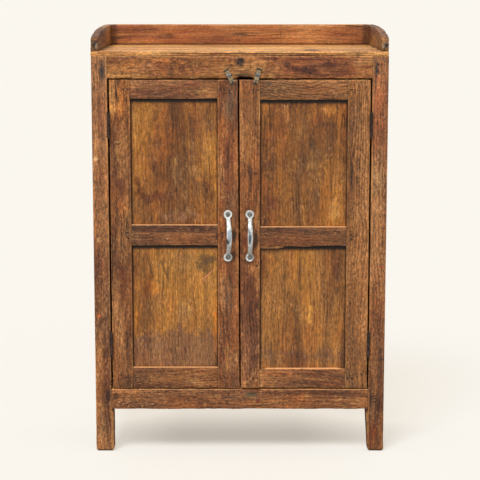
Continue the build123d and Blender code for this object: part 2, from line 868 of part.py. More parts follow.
def door_lock_stile(side, layout, pull_x, hasp):
    inner = layout["lock_inner"]
    with BuildPart() as piece:
        with BuildSketch(Plane.XZ.offset(-front)) as outline:
            with BuildLine():
                Polyline(
                    (inner, door_low),
                    (meeting_x(door_low) + side * meeting_gap / 2, door_low),
                    (meeting_x(door_high) + side * meeting_gap / 2, door_high),
                    (inner, door_high),
                    close=True,
                )
            make_face()
        extrude(outline.sketch, amount=-door_thick)
        cut_stile_joints(side, layout, "lock")
        for seat in pull_seats(pull_x):
            screw(seat, pull_screw_head, pull_screw_shank, pull_screw_length, screw_play, Mode.SUBTRACT)
        nail(hasp_nail_seat(hasp), hasp_nail_length, nail_play, Mode.SUBTRACT)
    return piece


def door_rail(side, layout, level_name, hasp):
    low, high = layout["rails"][level_name]
    groove_y = grow(layout["groove_y"], joint_play)
    with BuildPart() as piece:
        block(layout["between_x"], layout["y"], (low, high))
        block(
            grow(layout["between_x"], door_tenon_length),
            layout["groove_y"],
            (low + tenon_shoulder, high - tenon_shoulder),
        )
        if level_name != "top":
            block(layout["between_x"], groove_y, (high - groove_depth, high), Mode.SUBTRACT)
        if level_name != "bottom":
            block(layout["between_x"], groove_y, (low, low + groove_depth), Mode.SUBTRACT)
        for stile in ("hinge", "lock"):
            cut_pegs(door_peg_seats(side, layout, stile, level_name))
        if level_name == "top":
            nail(hasp_nail_seat(hasp), hasp_nail_length, nail_play, Mode.SUBTRACT)
    return piece


def door_panel(layout, panel_name):
    below, above = panel_levels[panel_name]
    lap = groove_depth - end_play
    with BuildPart() as piece:
        block(
            grow(layout["between_x"], lap),
            layout["groove_y"],
            grow((layout["rails"][below][1], layout["rails"][above][0]), lap),
        )
    return piece


def door_pegs(side, layout):
    with BuildPart() as piece:
        for level_name in layout["rails"]:
            for stile in ("hinge", "lock"):
                for seat in door_peg_seats(side, layout, stile, level_name):
                    rod(seat, peg_diameter / 2, door_thick)
    return piece


def door_fastenings(side, pull_x, hasp):
    with BuildPart() as piece:
        for seat in pull_seats(pull_x):
            screw(seat, pull_screw_head, pull_screw_shank, pull_screw_length)
        for seat in hinge_screw_seats(side, "door"):
            screw(seat, hinge_screw_head, hinge_screw_shank, hinge_screw_length)
        nail(hasp_nail_seat(hasp), hasp_nail_length)
    return piece


door_sets = {
    "left": (left_door, left_pull_x, left_pull_lean, left_hasp),
    "right": (right_door, right_pull_x, right_pull_lean, right_hasp),
}
for side_name, side in sides.items():
    sizes, pull_x, lean, hasp = door_sets[side_name]
    layout = door_layout(side, sizes)
    keep(door_hinge_stile(side, layout), f"{side_name}_door_hinge_stile")
    keep(door_lock_stile(side, layout, pull_x, hasp), f"{side_name}_door_lock_stile")
    for level_name in layout["rails"]:
        keep(door_rail(side, layout, level_name, hasp), f"{side_name}_door_{level_name}_rail")
    for panel_name in panel_levels:
        keep(door_panel(layout, panel_name), f"{side_name}_door_{panel_name}_panel")
    keep(door_pegs(side, layout), f"{side_name}_door_pegs")
    keep(door_fastenings(side, pull_x, hasp), f"{side_name}_door_fastenings")
    keep(hinge_leaves("door", [side]), f"{side_name}_door_hinge_leaves")
    keep(pull(pull_x, lean), f"{side_name}_pull")
    keep(hasp_plate(hasp), f"{side_name}_hasp_plate")
    keep(hasp_leaf(hasp), f"{side_name}_hasp_leaf")
    keep(hasp_pin(hasp), f"{side_name}_hasp_pin")
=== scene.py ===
import bpy
import bmesh
from math import asin, cos, pi, radians, sin, sqrt
from mathutils import Matrix, Vector


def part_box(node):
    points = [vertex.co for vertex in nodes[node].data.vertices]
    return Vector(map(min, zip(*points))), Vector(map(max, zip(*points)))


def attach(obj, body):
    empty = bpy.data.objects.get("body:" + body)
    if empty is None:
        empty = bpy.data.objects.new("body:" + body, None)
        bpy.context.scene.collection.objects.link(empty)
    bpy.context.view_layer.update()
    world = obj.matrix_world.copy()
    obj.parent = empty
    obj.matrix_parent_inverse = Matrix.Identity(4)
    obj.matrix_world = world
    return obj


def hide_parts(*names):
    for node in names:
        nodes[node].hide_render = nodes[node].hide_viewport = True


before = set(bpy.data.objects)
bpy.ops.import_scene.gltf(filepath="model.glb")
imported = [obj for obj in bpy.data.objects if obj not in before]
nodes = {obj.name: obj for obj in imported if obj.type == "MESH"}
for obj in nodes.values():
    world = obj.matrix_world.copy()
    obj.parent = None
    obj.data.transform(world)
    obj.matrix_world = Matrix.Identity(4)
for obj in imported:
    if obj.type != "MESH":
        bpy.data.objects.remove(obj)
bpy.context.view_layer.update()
print("frame loaded:", len(nodes), "nodes")

photoCamera = {
    "place": (0.0005, -3.95, 1.2115),
    "pitch": 9.02,        # degrees below level
    "focal": 1490 / 480,  # lens over the frame's width
    "shiftY": -0.045,
}

keySun = {"level": 0.79, "elevation": 57, "turn": -24, "softness": 24}
fillSun = {"level": 0.16, "elevation": 20, "turn": 25, "softness": 70}
skyLight = {"colour": (1.0, 0.985, 0.96), "horizon": 0.58, "zenith": 0.30}
backdrop = {"colour": (0.962, 0.929, 0.864), "bounce": (0.5, 0.48, 0.45)}
floorGlow = {"front": 0.44, "back": 0.80, "from": -0.08, "to": 0.20, "light": 1.09, "sides": 0.22,
             "tone": (1.0, 0.945, 0.885), "sideFrom": 0.16, "sideTo": 0.36, "most": 0.86}


def placeCamera(plan):
    data = bpy.data.cameras.new("photoCamera")
    data.sensor_width = 36
    data.lens = 36 * plan["focal"]
    data.shift_y = plan["shiftY"]
    data.clip_end = 500
    camera = bpy.data.objects.new("photoCamera", data)
    camera.location = plan["place"]
    camera.rotation_euler = (radians(90 - plan["pitch"]), 0, 0)
    bpy.context.scene.collection.objects.link(camera)
    bpy.context.scene.camera = camera


def hangSun(name, plan):
    data = bpy.data.lights.new(name, "SUN")
    data.energy = pi * plan["level"]
    data.angle = radians(plan["softness"])
    sun = bpy.data.objects.new(name, data)
    # turn 0 shines from the front, and a negative turn comes from the left
    sun.rotation_euler = (radians(90 - plan["elevation"]), 0, radians(plan["turn"]))
    bpy.context.scene.collection.objects.link(sun)


def lightWorld(sky, back):
    # soft light from above and all round; the camera, gloss and glass see the plain backdrop instead
    world = bpy.data.worlds.new("studio")
    bpy.context.scene.world = world
    world.use_nodes = True
    world.node_tree.nodes.clear()
    g = Graph(world.node_tree)
    rays = g.add("ShaderNodeLightPath").outputs
    plain = g.calc("MAXIMUM", rays["Is Camera Ray"], rays["Is Glossy Ray"])
    plain = g.calc("MAXIMUM", plain, rays["Is Transmission Ray"])
    height = g.split(g.coords["Generated"])["Z"]
    ambient = g.glow(sky["colour"], g.fade(height, 0.0, 1.0, sky["horizon"], sky["zenith"]))
    mix = g.add("ShaderNodeMixShader")
    for socket, value in zip(mix.inputs, (plain, ambient, g.glow(back["colour"], 1.0))):
        g.feed(socket, value)
    g.feed(g.add("ShaderNodeOutputWorld").inputs[0], mix.outputs[0])


def layFloor(back, glow):
    bpy.ops.mesh.primitive_plane_add(size=400, location=(0, 0, 0))
    floor = bpy.context.object
    floor.name = "floor"
    f = Finish("paleFloor")
    seen = f.add("ShaderNodeLightPath").outputs["Is Camera Ray"]
    # painted light: part of what the camera sees is the floor's own glow, more of it further back and towards
    # the sides, so the cabinet's shadow there stays soft, painted lighter and warmer
    parts = f.split(f.place)
    behind = f.fade(parts[1], glow["from"], glow["to"], glow["front"], glow["back"], smooth=True)
    aside = f.fade(f.calc("ABSOLUTE", parts[0]), glow["sideFrom"], glow["sideTo"], 0, glow["sides"])
    share = f.calc("MINIMUM", glow["most"], f.plus(behind, aside))
    own = f.scaled([part * warmth for part, warmth in zip(back["colour"], glow["tone"])], share)
    lit = f.scaled(f.along("SUBTRACT", back["colour"], own), 1 / glow["light"])
    f.give(Base_Color=f.mix(seen, back["bounce"], lit), Roughness=1.0, Specular_IOR_Level=0.0,
           Emission_Color=own, Emission_Strength=seen)
    floor.data.materials.append(f.material)


def paint(colour):
    # a colour given from 0 to 255, as the shader wants it
    return [((c / 255 + 0.055) / 1.055) ** 2.4 if c > 10 else c / 255 / 12.92 for c in colour]


class Graph:
    # a tree of shader nodes and the few steps that a pattern is built from

    def __init__(self, tree):
        self.tree = tree
        self.coords = self.add("ShaderNodeTexCoord").outputs

    def add(self, kind, **settings):
        node = self.tree.nodes.new(kind)
        for key, value in settings.items():
            setattr(node, key, value)
        return node

    def feed(self, socket, value):
        if isinstance(value, bpy.types.NodeSocket):
            self.tree.links.new(value, socket)
        elif isinstance(value, (tuple, list)) and len(value) == 3 and len(socket.default_value) == 4:
            socket.default_value = (*value, 1)
        else:
            socket.default_value = value

    def calc(self, kind, *values):
        node = self.add("ShaderNodeMath", operation=kind)
        for socket, value in zip(node.inputs, values):
            self.feed(socket, value)
        return node.outputs[0]

    def plus(self, first, second):
        return self.calc("ADD", first, second)

    def minus(self, first, second):
        return self.calc("SUBTRACT", first, second)

    def times(self, first, second):
        return self.calc("MULTIPLY", first, second)

    def along(self, kind, *values):
        node = self.add("ShaderNodeVectorMath", operation=kind)
        for socket, value in zip(node.inputs, values):
            self.feed(socket, value)
        return node.outputs["Value" if kind in ("LENGTH", "DOT_PRODUCT") else "Vector"]

    def scaled(self, vector, factor):
        node = self.add("ShaderNodeVectorMath", operation="SCALE")
        self.feed(node.inputs[0], vector)
        self.feed(node.inputs["Scale"], factor)
        return node.outputs[0]

    def split(self, vector):
        node = self.add("ShaderNodeSeparateXYZ")
        self.feed(node.inputs[0], vector)
        return node.outputs

    def noise(self, vector, scale, detail=3.0, rough=0.55, colour=False):
        stretched = self.along("MULTIPLY", vector, scale)
        node = self.add("ShaderNodeTexNoise")
        self.feed(node.inputs["Vector"], stretched)
        node.inputs["Scale"].default_value = 1.0
        node.inputs["Detail"].default_value = detail
        node.inputs["Roughness"].default_value = rough
        return node.outputs["Color" if colour else "Fac"]

    def fade(self, value, start, end, low=0.0, high=1.0, smooth=False):
        # low at start, high at end, held beyond both
        node = self.add("ShaderNodeMapRange", clamp=True)
        if smooth:
            node.interpolation_type = "SMOOTHSTEP"
        for key, number in (("Value", value), ("From Min", start), ("From Max", end),
                            ("To Min", low), ("To Max", high)):
            self.feed(node.inputs[key], number)
        return node.outputs[0]

    def mix(self, factor, first, second):
        node = self.add("ShaderNodeMix", data_type="RGBA")
        colours = [s for s in node.inputs if s.type == "RGBA"]
        self.feed(node.inputs["Factor"], factor)
        self.feed(colours[0], first)
        self.feed(colours[1], second)
        return [s for s in node.outputs if s.type == "RGBA"][0]

    def over(self, tone, cover, colour):
        # lays a colour over the tone, as far as cover says
        return self.mix(cover, tone, paint(colour))

    def ramp(self, value, stops):
        node = self.add("ShaderNodeValToRGB")
        steps = node.color_ramp.elements
        while len(steps) < len(stops):
            steps.new(0.5)
        for step, (at, colour) in zip(steps, stops):
            step.position = at
            step.color = (*paint(colour), 1)
        self.feed(node.inputs[0], value)
        return node.outputs["Color"]

    def glow(self, colour, strength):
        node = self.add("ShaderNodeBackground")
        self.feed(node.inputs["Color"], colour)
        self.feed(node.inputs["Strength"], strength)
        return node.outputs[0]


class Finish(Graph):
    # one material, with its pattern on the object's own coordinates

    def __init__(self, name):
        self.material = bpy.data.materials.new(name)
        self.material.use_nodes = True
        super().__init__(self.material.node_tree)
        self.shader = self.tree.nodes["Principled BSDF"]
        self.place = self.coords["Object"]

    def bump(self, height, strength, distance):
        node = self.add("ShaderNodeBump")
        node.inputs["Strength"].default_value = strength
        node.inputs["Distance"].default_value = distance
        self.feed(node.inputs["Height"], height)
        self.feed(self.shader.inputs["Normal"], node.outputs[0])

    def give(self, **values):
        for key, value in values.items():
            self.feed(self.shader.inputs[key.replace("_", " ")], value)


placeCamera(photoCamera)
hangSun("keySun", keySun)
hangSun("fillSun", fillSun)
lightWorld(skyLight, backdrop)
layFloor(backdrop, floorGlow)
bpy.context.scene.view_settings.view_transform = "Standard"
print("camera, light and floor placed")

grainTurns = {"x": (0, -pi / 2, 0), "y": (pi / 2, 0, 0), "z": (0, 0, 0)}

teakDefaults = {
    "grain": "z", "seed": 1.0,
    "pale": (204, 140, 90), "warm": (160, 101, 60), "brown": (116, 68, 42), "dark": (68, 37, 24),
    "shade": 0.0,            # moves the patches towards dark (-) or pale (+)
    "level": 1.0,            # brightness of the whole board
    "patch": (13, 9, 2.6),   # patches per metre: across, in depth, along
    "wander": 0.010,         # how far the grain sways sideways
    "orange": 0.28, "ash": 0.3,
    "bands": 0.5, "bandScale": (70, 24, 2.6),
    "paleBands": 0.35,
    "streaks": 0.8, "fibres": 0.65, "run": 8, "flecks": 0.5, "specks": 0.5,
    "rings": 0.35, "ringPitch": 0.008, "ringSway": 0.05, "ringScale": (7, 5, 2.2),
    "cracks": 0.6, "pores": 0.5, "mottle": 0.42,
    "edgeWear": 0.5, "edgeReach": 0.0035, "edge": (206, 148, 92),
    "topEdgeHighlight": 0.0,          # painted highlight: a pale line along the upper arris, where light from above catches it
    "grimeAndShade": (),             # grime at joints, and painted shade under rails and in recesses and inner corners: (side, reach, strength), such as ("+z", 0.01, 0.9)
    "sheen": 0.55, "relief": 0.6,
    "marks": (),
    "seams": (),             # where boards of one node meet, with the axis across them
}
teakStains = {               # what every board has in common
    "orange": (196, 108, 46), "ash": (122, 92, 70), "fleck": (226, 172, 124), "speck": (48, 27, 17),
    # the rim colour is a painted highlight on upper arrises, and the darkest colour is both grime at joints
    # and painted shade
    "pore": (44, 24, 14), "crack": (30, 17, 11), "rim": (236, 172, 122), "grimeAndShade": (26, 15, 9),
    "seam": (20, 12, 8),
}
nextBoard = (1.31, 0.77, 2.9)   # how far the pattern jumps from one board of a node to the next
waxTint = (1, 0.985, 0.81)      # old wax takes out a little green and more blue
edgeRag = 0.012                 # how far the worn edges, the grime and the painted highlight and shade stray


def paintMarks(f, tone, look):
    # marks that belong to one board alone
    blot = f.minus(f.noise(f.place, (48, 48, 48), 5, 0.65), 0.5)
    for stain in look["marks"]:
        offset = f.along("SUBTRACT", f.place, stain["at"])
        if stain["lean"]:
            offset = f.along("ADD", offset, f.scaled((stain["lean"], 0, 0), f.split(offset)[2]))
        shape = f.along("LENGTH", f.along("DIVIDE", offset, stain["size"]))
        shape = f.plus(shape, f.times(blot, stain["ragged"]))
        if stain["rings"]:
            wave = f.calc("SINE", f.times(shape, stain["rings"]))
            around = f.times(f.fade(wave, 0.1, 0.9), f.fade(shape, 2.8, 0.8, 0, 0.6))
            tone = f.over(tone, around, look["dark"])
        goal = paint(stain["colour"])
        if stain["tint"]:
            goal = f.along("MULTIPLY", tone, [part / usual for part, usual in zip(goal, paint(look["warm"]))])
        cover = f.fade(shape, 1.0, 1.0 - stain["soft"], 0, stain["strength"], smooth=True)
        tone = f.mix(cover, tone, goal)
    return tone


def wearEdgesAndPaintLight(f, tone, look, low, high):
    # worn arrises, a painted highlight on the upper arris, and grime and painted shade, by the distance in
    # from the board's faces
    fromLow = f.split(f.along("SUBTRACT", f.place, low))
    fromHigh = f.split(f.along("SUBTRACT", high, f.place))
    away = [f.calc("MINIMUM", fromLow[i], fromHigh[i]) for i in range(3)]
    lesser = f.calc("MINIMUM", away[0], away[1])
    greater = f.calc("MAXIMUM", away[0], away[1])
    edge = f.calc("MAXIMUM", lesser, f.calc("MINIMUM", greater, away[2]))
    ragged = f.times(f.minus(f.noise(f.place, (130, 130, 130), 4, 0.6), 0.46), edgeRag)
    rubbed = f.fade(f.plus(edge, ragged), look["edgeReach"], 0.0008, 0, look["edgeWear"])
    tone = f.over(tone, rubbed, look["edge"])
    # painted highlight: light from above catching the upper arris
    if look["topEdgeHighlight"]:
        rim = f.plus(fromHigh[2], f.times(ragged, 0.2))
        tone = f.over(tone, f.fade(rim, 0.0034, 0.0014, 0, look["topEdgeHighlight"]), teakStains["rim"])
    # grime where boards meet, and painted shade under rails and in recesses and inner corners
    for side, reach, strength in look["grimeAndShade"]:
        near = (fromLow if side[0] == "-" else fromHigh)["xyz".index(side[1])]
        spread = f.plus(near, f.times(ragged, 0.25))
        tone = f.over(tone, f.fade(spread, reach, reach * 0.45, 0, strength, smooth=True), teakStains["grimeAndShade"])
    return tone


def teakFinish(name, corners, wood):
    # old waxed teak: patches of tone, dark bands, growth rings, fibres, cracks, marks, worn edges and grime,
    # with a painted highlight on upper arrises and painted shade in recesses and corners
    look = {**teakDefaults, **wood}
    f = Finish(name)
    turned = f.add("ShaderNodeMapping")
    f.feed(turned.inputs["Vector"], f.place)
    f.feed(turned.inputs["Rotation"], grainTurns[look["grain"]])
    f.feed(turned.inputs["Location"], [look["seed"] * step for step in (1.7, 2.3, 3.1)])
    grain = turned.outputs[0]
    seam = 0.0
    for axis, at in look["seams"]:
        across = f.minus(f.split(f.place)[axis], at)
        seam = f.calc("MAXIMUM", seam, f.fade(f.calc("ABSOLUTE", across), 0.0022, 0.0008))
        grain = f.along("ADD", grain, f.scaled(nextBoard, f.calc("GREATER_THAN", across, 0.0)))
    sway = f.along("SUBTRACT", f.noise(grain, (9, 7, 2.4), 2, 0.5, colour=True), (0.5, 0.5, 0.5))
    grain = f.along("ADD", grain, f.along("MULTIPLY", sway, (look["wander"] * 4, look["wander"] * 2, 0)))

    # tones
    patch = f.plus(f.noise(grain, look["patch"], 4, 0.62), look["shade"])
    tone = f.ramp(patch, [(0.31, look["dark"]), (0.42, look["brown"]), (0.53, look["warm"]),
                          (0.655, look["pale"])])
    hue = f.noise(f.along("ADD", grain, (3.1, 1.7, 0.9)), (20, 12, 6), 4, 0.6)
    tone = f.over(tone, f.fade(hue, 0.50, 0.66, 0, look["orange"]), teakStains["orange"])
    tone = f.over(tone, f.fade(hue, 0.48, 0.34, 0, look["ash"]), teakStains["ash"])
    band = f.noise(grain, look["bandScale"], 4, 0.65)
    tone = f.over(tone, f.fade(band, 0.52, 0.66, 0, look["bands"]), look["dark"])
    tone = f.over(tone, f.fade(band, 0.46, 0.32, 0, look["paleBands"]), look["pale"])

    # growth rings, seen as lines that sway along the board
    parts = f.split(grain)
    swing = f.noise(grain, look["ringScale"], 2, 0.5)
    depth = f.plus(f.times(parts[1], 0.7), f.times(swing, look["ringSway"]))
    ring = f.calc("FRACT", f.calc("DIVIDE", f.plus(parts[0], depth), look["ringPitch"]))
    late = f.times(f.fade(ring, 0.35, 0.85, smooth=True), f.fade(ring, 1.0, 0.90))
    ringPart = f.fade(f.noise(grain, (16, 9, 3), 2, 0.5), 0.38, 0.62)
    tone = f.over(tone, f.times(f.times(late, ringPart), look["rings"]), look["dark"])

    # streaks, fibres, and pale and dark flecks
    streak = f.noise(grain, (190, 90, 2 * look["run"]), 5, 0.6)
    fibre = f.noise(grain, (330, 240, 12 * look["run"]), 3, 0.7)
    lift = f.plus(f.fade(streak, 0.30, 0.70, 1 - look["streaks"] * 0.45, 1 + look["streaks"] * 0.42),
                  f.fade(fibre, 0.30, 0.70, -look["fibres"], look["fibres"]))
    tone = f.scaled(tone, lift)
    worn = f.fade(f.noise(f.place, (22, 22, 22), 3, 0.6), 0.44, 0.60)
    fleck = f.noise(f.along("ADD", grain, (0.7, 0.3, 1.9)), (240, 170, 110), 3, 0.7)
    tone = f.over(tone, f.times(f.fade(fleck, 0.55, 0.66, 0, look["flecks"]), worn), teakStains["fleck"])
    tone = f.over(tone, f.fade(fleck, 0.42, 0.33, 0, look["specks"]), teakStains["speck"])
    pore = f.fade(f.noise(grain, (420, 260, 40), 2, 0.6), 0.58, 0.68)
    tone = f.over(tone, f.times(pore, look["pores"]), teakStains["pore"])

    # drying cracks, few and thin
    line = f.noise(grain, (46, 30, 1.9), 3, 0.6)
    crack = f.fade(f.calc("ABSOLUTE", f.minus(line, 0.5)), 0.020, 0.004)
    crack = f.times(crack, f.fade(f.noise(grain, (21, 14, 5), 2, 0.5), 0.54, 0.62))
    tone = f.over(tone, f.times(crack, look["cracks"]), teakStains["crack"])

    mottle = f.noise(f.place, (190, 190, 190), 4, 0.75)
    tone = f.scaled(tone, f.fade(mottle, 0.30, 0.70, 1 - look["mottle"], 1 + look["mottle"]))

    tone = paintMarks(f, tone, look)
    tone = wearEdgesAndPaintLight(f, tone, look, *corners)
    if look["seams"]:
        tone = f.over(tone, f.times(seam, 0.85), teakStains["seam"])
    tone = f.along("MULTIPLY", tone, [look["level"] * part for part in waxTint])

    height = f.plus(f.times(streak, 0.9), f.times(fibre, 0.5))
    height = f.minus(height, f.times(crack, 0.9))
    height = f.minus(height, f.times(pore, 0.25))
    height = f.plus(height, f.times(mottle, 0.6))
    height = f.minus(height, f.times(late, 0.12))
    gloss = f.fade(streak, 0.3, 0.7, look["sheen"] + 0.12, look["sheen"] - 0.10)
    f.give(Base_Color=tone, Roughness=gloss, Specular_IOR_Level=0.35)
    f.bump(height, look["relief"], 0.0015)
    return f.material


def only(piece):
    # nothing else stays selected, so an operator acts on this piece alone
    if bpy.context.object and bpy.context.object.mode != "OBJECT":
        bpy.ops.object.mode_set(mode="OBJECT")
    bpy.ops.object.select_all(action="DESELECT")
    piece.select_set(True)
    bpy.context.view_layer.objects.active = piece


def selectOnly(piece, kind, pick):
    # leaves the piece in edit mode with just those corners or faces selected that pick returns from all
    bpy.ops.object.mode_set(mode="EDIT")
    bpy.ops.mesh.select_mode(type=kind)
    bpy.ops.mesh.select_all(action="DESELECT")
    mesh = bmesh.from_edit_mesh(piece.data)
    for part in pick(mesh.verts if kind == "VERT" else mesh.faces):
        part.select_set(True)
    bmesh.update_edit_mesh(piece.data)


def joinAll(pieces):
    if len(pieces) > 1:
        only(pieces[0])
        for piece in pieces[1:]:
            piece.select_set(True)
        bpy.ops.object.join()
    return pieces[0]


def pickEdges(piece, axis, span=None):
    # selects the edges that run along one axis, or only those that cover one span of it
    mesh = bmesh.from_edit_mesh(piece.data)
    spans = set()
    for edge in mesh.edges:
        run = edge.verts[1].co - edge.verts[0].co
        along = max(range(3), key=lambda i: abs(run[i])) == axis
        edge.select_set(along and (span is None or abs(abs(run[axis]) - span) < 0.0003))
        if along:
            spans.add(round(abs(run[axis]), 3))
    bmesh.update_edit_mesh(piece.data)
    return sorted(spans)


def cutGrid(piece, cell, stepped=None):
    # divides every face into cells of about that size along each axis; along the stepped axis, where
    # a shape has its own rings of edges, each stretch between them gets cells of its own
    bpy.ops.object.mode_set(mode="EDIT")
    bpy.ops.mesh.select_mode(type="EDGE")
    for axis in range(3):
        for span in pickEdges(piece, axis) if axis == stepped else [None]:
            count = max(1, round((span or piece.dimensions[axis]) / cell[axis]))
            rough = max(1, round(sqrt(count)))
            for parts in (rough, max(1, round(count / rough))):
                if parts > 1:
                    pickEdges(piece, axis, span)
                    bpy.ops.mesh.subdivide(number_cuts=parts - 1)
                    span = span and span / parts
    bpy.ops.object.mode_set(mode="OBJECT")


def useModifier(piece, name, kind, **settings):
    only(piece)
    modifier = piece.modifiers.new(name, kind)
    for key, value in settings.items():
        setattr(modifier, key, value)
    bpy.ops.object.modifier_apply(modifier=modifier.name)


def wearDown(piece, size, depth, stretch, seed, group="", contrast=1.0):
    # sinks the surface unevenly, never outwards; the hollows are longer where stretch is large
    hollows = bpy.data.textures.new("hollows", "CLOUDS")
    hollows.noise_scale = size
    hollows.noise_depth = 2
    hollows.contrast = contrast
    hollows.use_clamp = True
    space = bpy.data.objects.new("hollowSpace", None)
    bpy.context.scene.collection.objects.link(space)
    space.scale = stretch
    space.location = (seed * 0.37, seed * 0.53, seed * 0.71)
    bpy.context.view_layer.update()
    useModifier(piece, "hollows", "DISPLACE", texture=hollows, texture_coords="OBJECT",
                texture_coords_object=space, direction="NORMAL", mid_level=1.0, strength=depth,
                vertex_group=group)
    bpy.data.objects.remove(space)
    bpy.data.textures.remove(hollows)


def markArrises(piece, low, high, reach):
    # a vertex group that is full on the board's corners and fades over a short way in
    group = piece.vertex_groups.new(name="arrises")
    for vertex in piece.data.vertices:
        away = sorted(min(vertex.co[i] - low[i], high[i] - vertex.co[i]) for i in range(3))
        weight = 1 - away[1] / reach
        if weight > 0:
            group.add([vertex.index], min(1.0, weight), "REPLACE")
    return group.name


def dent(at, reach, push, near=None):
    # local wear: a push on the corners at a place, which fades out over the reach
    return {"at": Vector(at), "reach": reach, "push": push, "near": near}


def cornersAt(verts, at, near):
    # those within near of a place, or else the nearest one
    if near:
        return [v for v in verts if all(abs(v.co[i] - at[i]) <= near[i] for i in range(3))]
    return [min(verts, key=lambda v: (v.co - at).length)]


def pressIn(piece, dents):
    for each in dents:
        selectOnly(piece, "VERT", lambda verts: cornersAt(verts, each["at"], each["near"]))
        bpy.ops.transform.translate(value=each["push"], use_proportional_edit=True,
                                    proportional_edit_falloff="SMOOTH",
                                    proportional_size=each["reach"], use_proportional_connected=False)
    bpy.ops.object.mode_set(mode="OBJECT")


boardDefaults = {
    "trim": (0, 0, 0),   # cut off each end of the CAD node's box, where a tenon or tongue is hidden
    "into": ((0, 0, 0), (0, 0, 0)),   # how far its low and high ends run on into their neighbours
    "foot": 0.0,         # how far the lower end's edges are worn round
    "cell": (0.006, 0.006, 0.006),
    "stepped": None,     # the axis along which the shape cut rings of its own
    "round": 0.0016,
    "shrink": 0.00015,
    "hollow": 0.0008, "hollowSize": 0.03, "hollowRun": 5.0,
    "chip": 0.0022, "chipSize": 0.014, "chipRun": 2.2, "chipReach": 0.007,
    "dents": (),
}


def wearFoot(piece, amount):
    # draws in the edges of the end that stands on the floor
    def pick(verts):
        return [v for v in verts if v.co.z < 0.001]

    end = [v.co for v in pick(piece.data.vertices)]
    spans = [(min(co[i] for co in end), max(co[i] for co in end)) for i in range(2)]
    keep = [1 - 2 * amount / (far - near) for near, far in spans]
    middle = [(near + far) / 2 for near, far in spans]
    selectOnly(piece, "VERT", pick)
    bpy.ops.transform.resize(value=(*keep, 1), center_override=(*middle, 0))
    bpy.ops.object.mode_set(mode="OBJECT")


def sawBoard(name, low, high, plan, grain, seed):
    middle = (low + high) / 2
    bpy.ops.object.select_all(action="DESELECT")
    bpy.ops.mesh.primitive_cube_add(size=1, location=middle)
    piece = bpy.context.object
    piece.name = name
    piece.data.name = name
    piece.scale = high - low - Vector((1, 1, 1)) * 2 * plan["shrink"]
    bpy.ops.object.transform_apply(location=True, rotation=True, scale=True)
    if "shape" in plan:
        plan["shape"](piece)
    cutGrid(piece, plan["cell"], plan["stepped"])
    if plan["foot"]:
        wearFoot(piece, plan["foot"])
    useModifier(piece, "arris", "BEVEL", width=plan["round"], segments=2, limit_method="ANGLE",
                angle_limit=radians(35))
    if plan["dents"]:
        only(piece)
        pressIn(piece, plan["dents"])
    axis = "xyz".index(grain)
    wide = [1.0, 1.0, 1.0]
    wide[axis] = plan["hollowRun"]
    wearDown(piece, plan["hollowSize"], plan["hollow"], wide, seed)
    if plan["chip"]:
        group = markArrises(piece, low, high, plan["chipReach"])
        wide[axis] = plan["chipRun"]
        wearDown(piece, plan["chipSize"], plan["chip"], wide, seed + 5, group, 2.2)
        piece.vertex_groups.clear()
    only(piece)
    bpy.ops.object.shade_smooth_by_angle(angle=radians(50))
    return piece


def makeBoard(node, body, wood, plan=None, split=None):
    # a worn board in the place of a CAD board; split lists the stretches of a node that holds several
    shape = {**boardDefaults, **(plan or {})}
    grain = wood.get("grain", teakDefaults["grain"])
    seed = wood.get("seed", 1.0)
    trim = Vector(shape["trim"])
    low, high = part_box(node)
    low, high = low + trim, high - trim
    made = []
    for i, ends in enumerate(split or [None]):
        boardLow, boardHigh = low - Vector(shape["into"][0]), high + Vector(shape["into"][1])
        if ends:
            boardLow[shape["across"]], boardHigh[shape["across"]] = ends
        made.append(sawBoard(f"{node}_part{i}", boardLow, boardHigh, shape, grain, seed + i * 3.3))
    board = joinAll(made)
    board.name = f"{node}_board"
    board.data.name = board.name
    board.data.materials.clear()
    board.data.materials.append(teakFinish(f"{node}_teak", ([*low], [*high]), wood))
    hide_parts(node)
    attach(board, body)


def moveCorners(piece, pick, push):
    # moves the corners that pick chooses by their place
    selectOnly(piece, "VERT", lambda verts: [v for v in verts if pick(v.co)])
    bpy.ops.transform.translate(value=push)
    bpy.ops.object.mode_set(mode="OBJECT")


def cutAcross(piece, at, normal):
    # a ring of edges round the board, where its shape changes
    bpy.ops.object.mode_set(mode="EDIT")
    bpy.ops.mesh.select_all(action="SELECT")
    bpy.ops.mesh.bisect(plane_co=at, plane_no=normal)
    bpy.ops.object.mode_set(mode="OBJECT")


def mark(at, size, colour, strength, soft=0.5, ragged=1.5, lean=0.0, rings=0, tint=False):
    # size is half of it each way, soft the part of it that fades, ragged how torn its rim is; lean moves its
    # top to the left, rings sets growth lines round it, and tint shifts the tone and keeps the grain
    return {"at": at, "size": size, "colour": colour, "strength": strength, "soft": soft, "ragged": ragged,
            "lean": lean, "rings": rings, "tint": tint}


def spot(x, z, wide, high, colour, strength, soft=0.5, ragged=1.5, **more):
    # a mark on the front, in millimetres from the middle and from the floor
    return mark((x / 1000, -0.2, z / 1000), (wide / 1000, 0.02, high / 1000), colour, strength, soft, ragged,
                **more)


def band(x, z, wide, high, colour, strength, soft=0.8, ragged=2.2, **more):
    # a soft zone of another tone
    return spot(x, z, wide, high, colour, strength, soft, ragged, tint=True, **more)


def spots(*rows):
    return [spot(*row) for row in rows]


def bands(*rows):
    return [band(*row) for row in rows]


def pegDots(*places):
    # small dark peg and nail ends
    return [spot(x, z, 2.4, 2.4, (34, 20, 14), 0.9, 0.35, 0.8) for x, z in places]


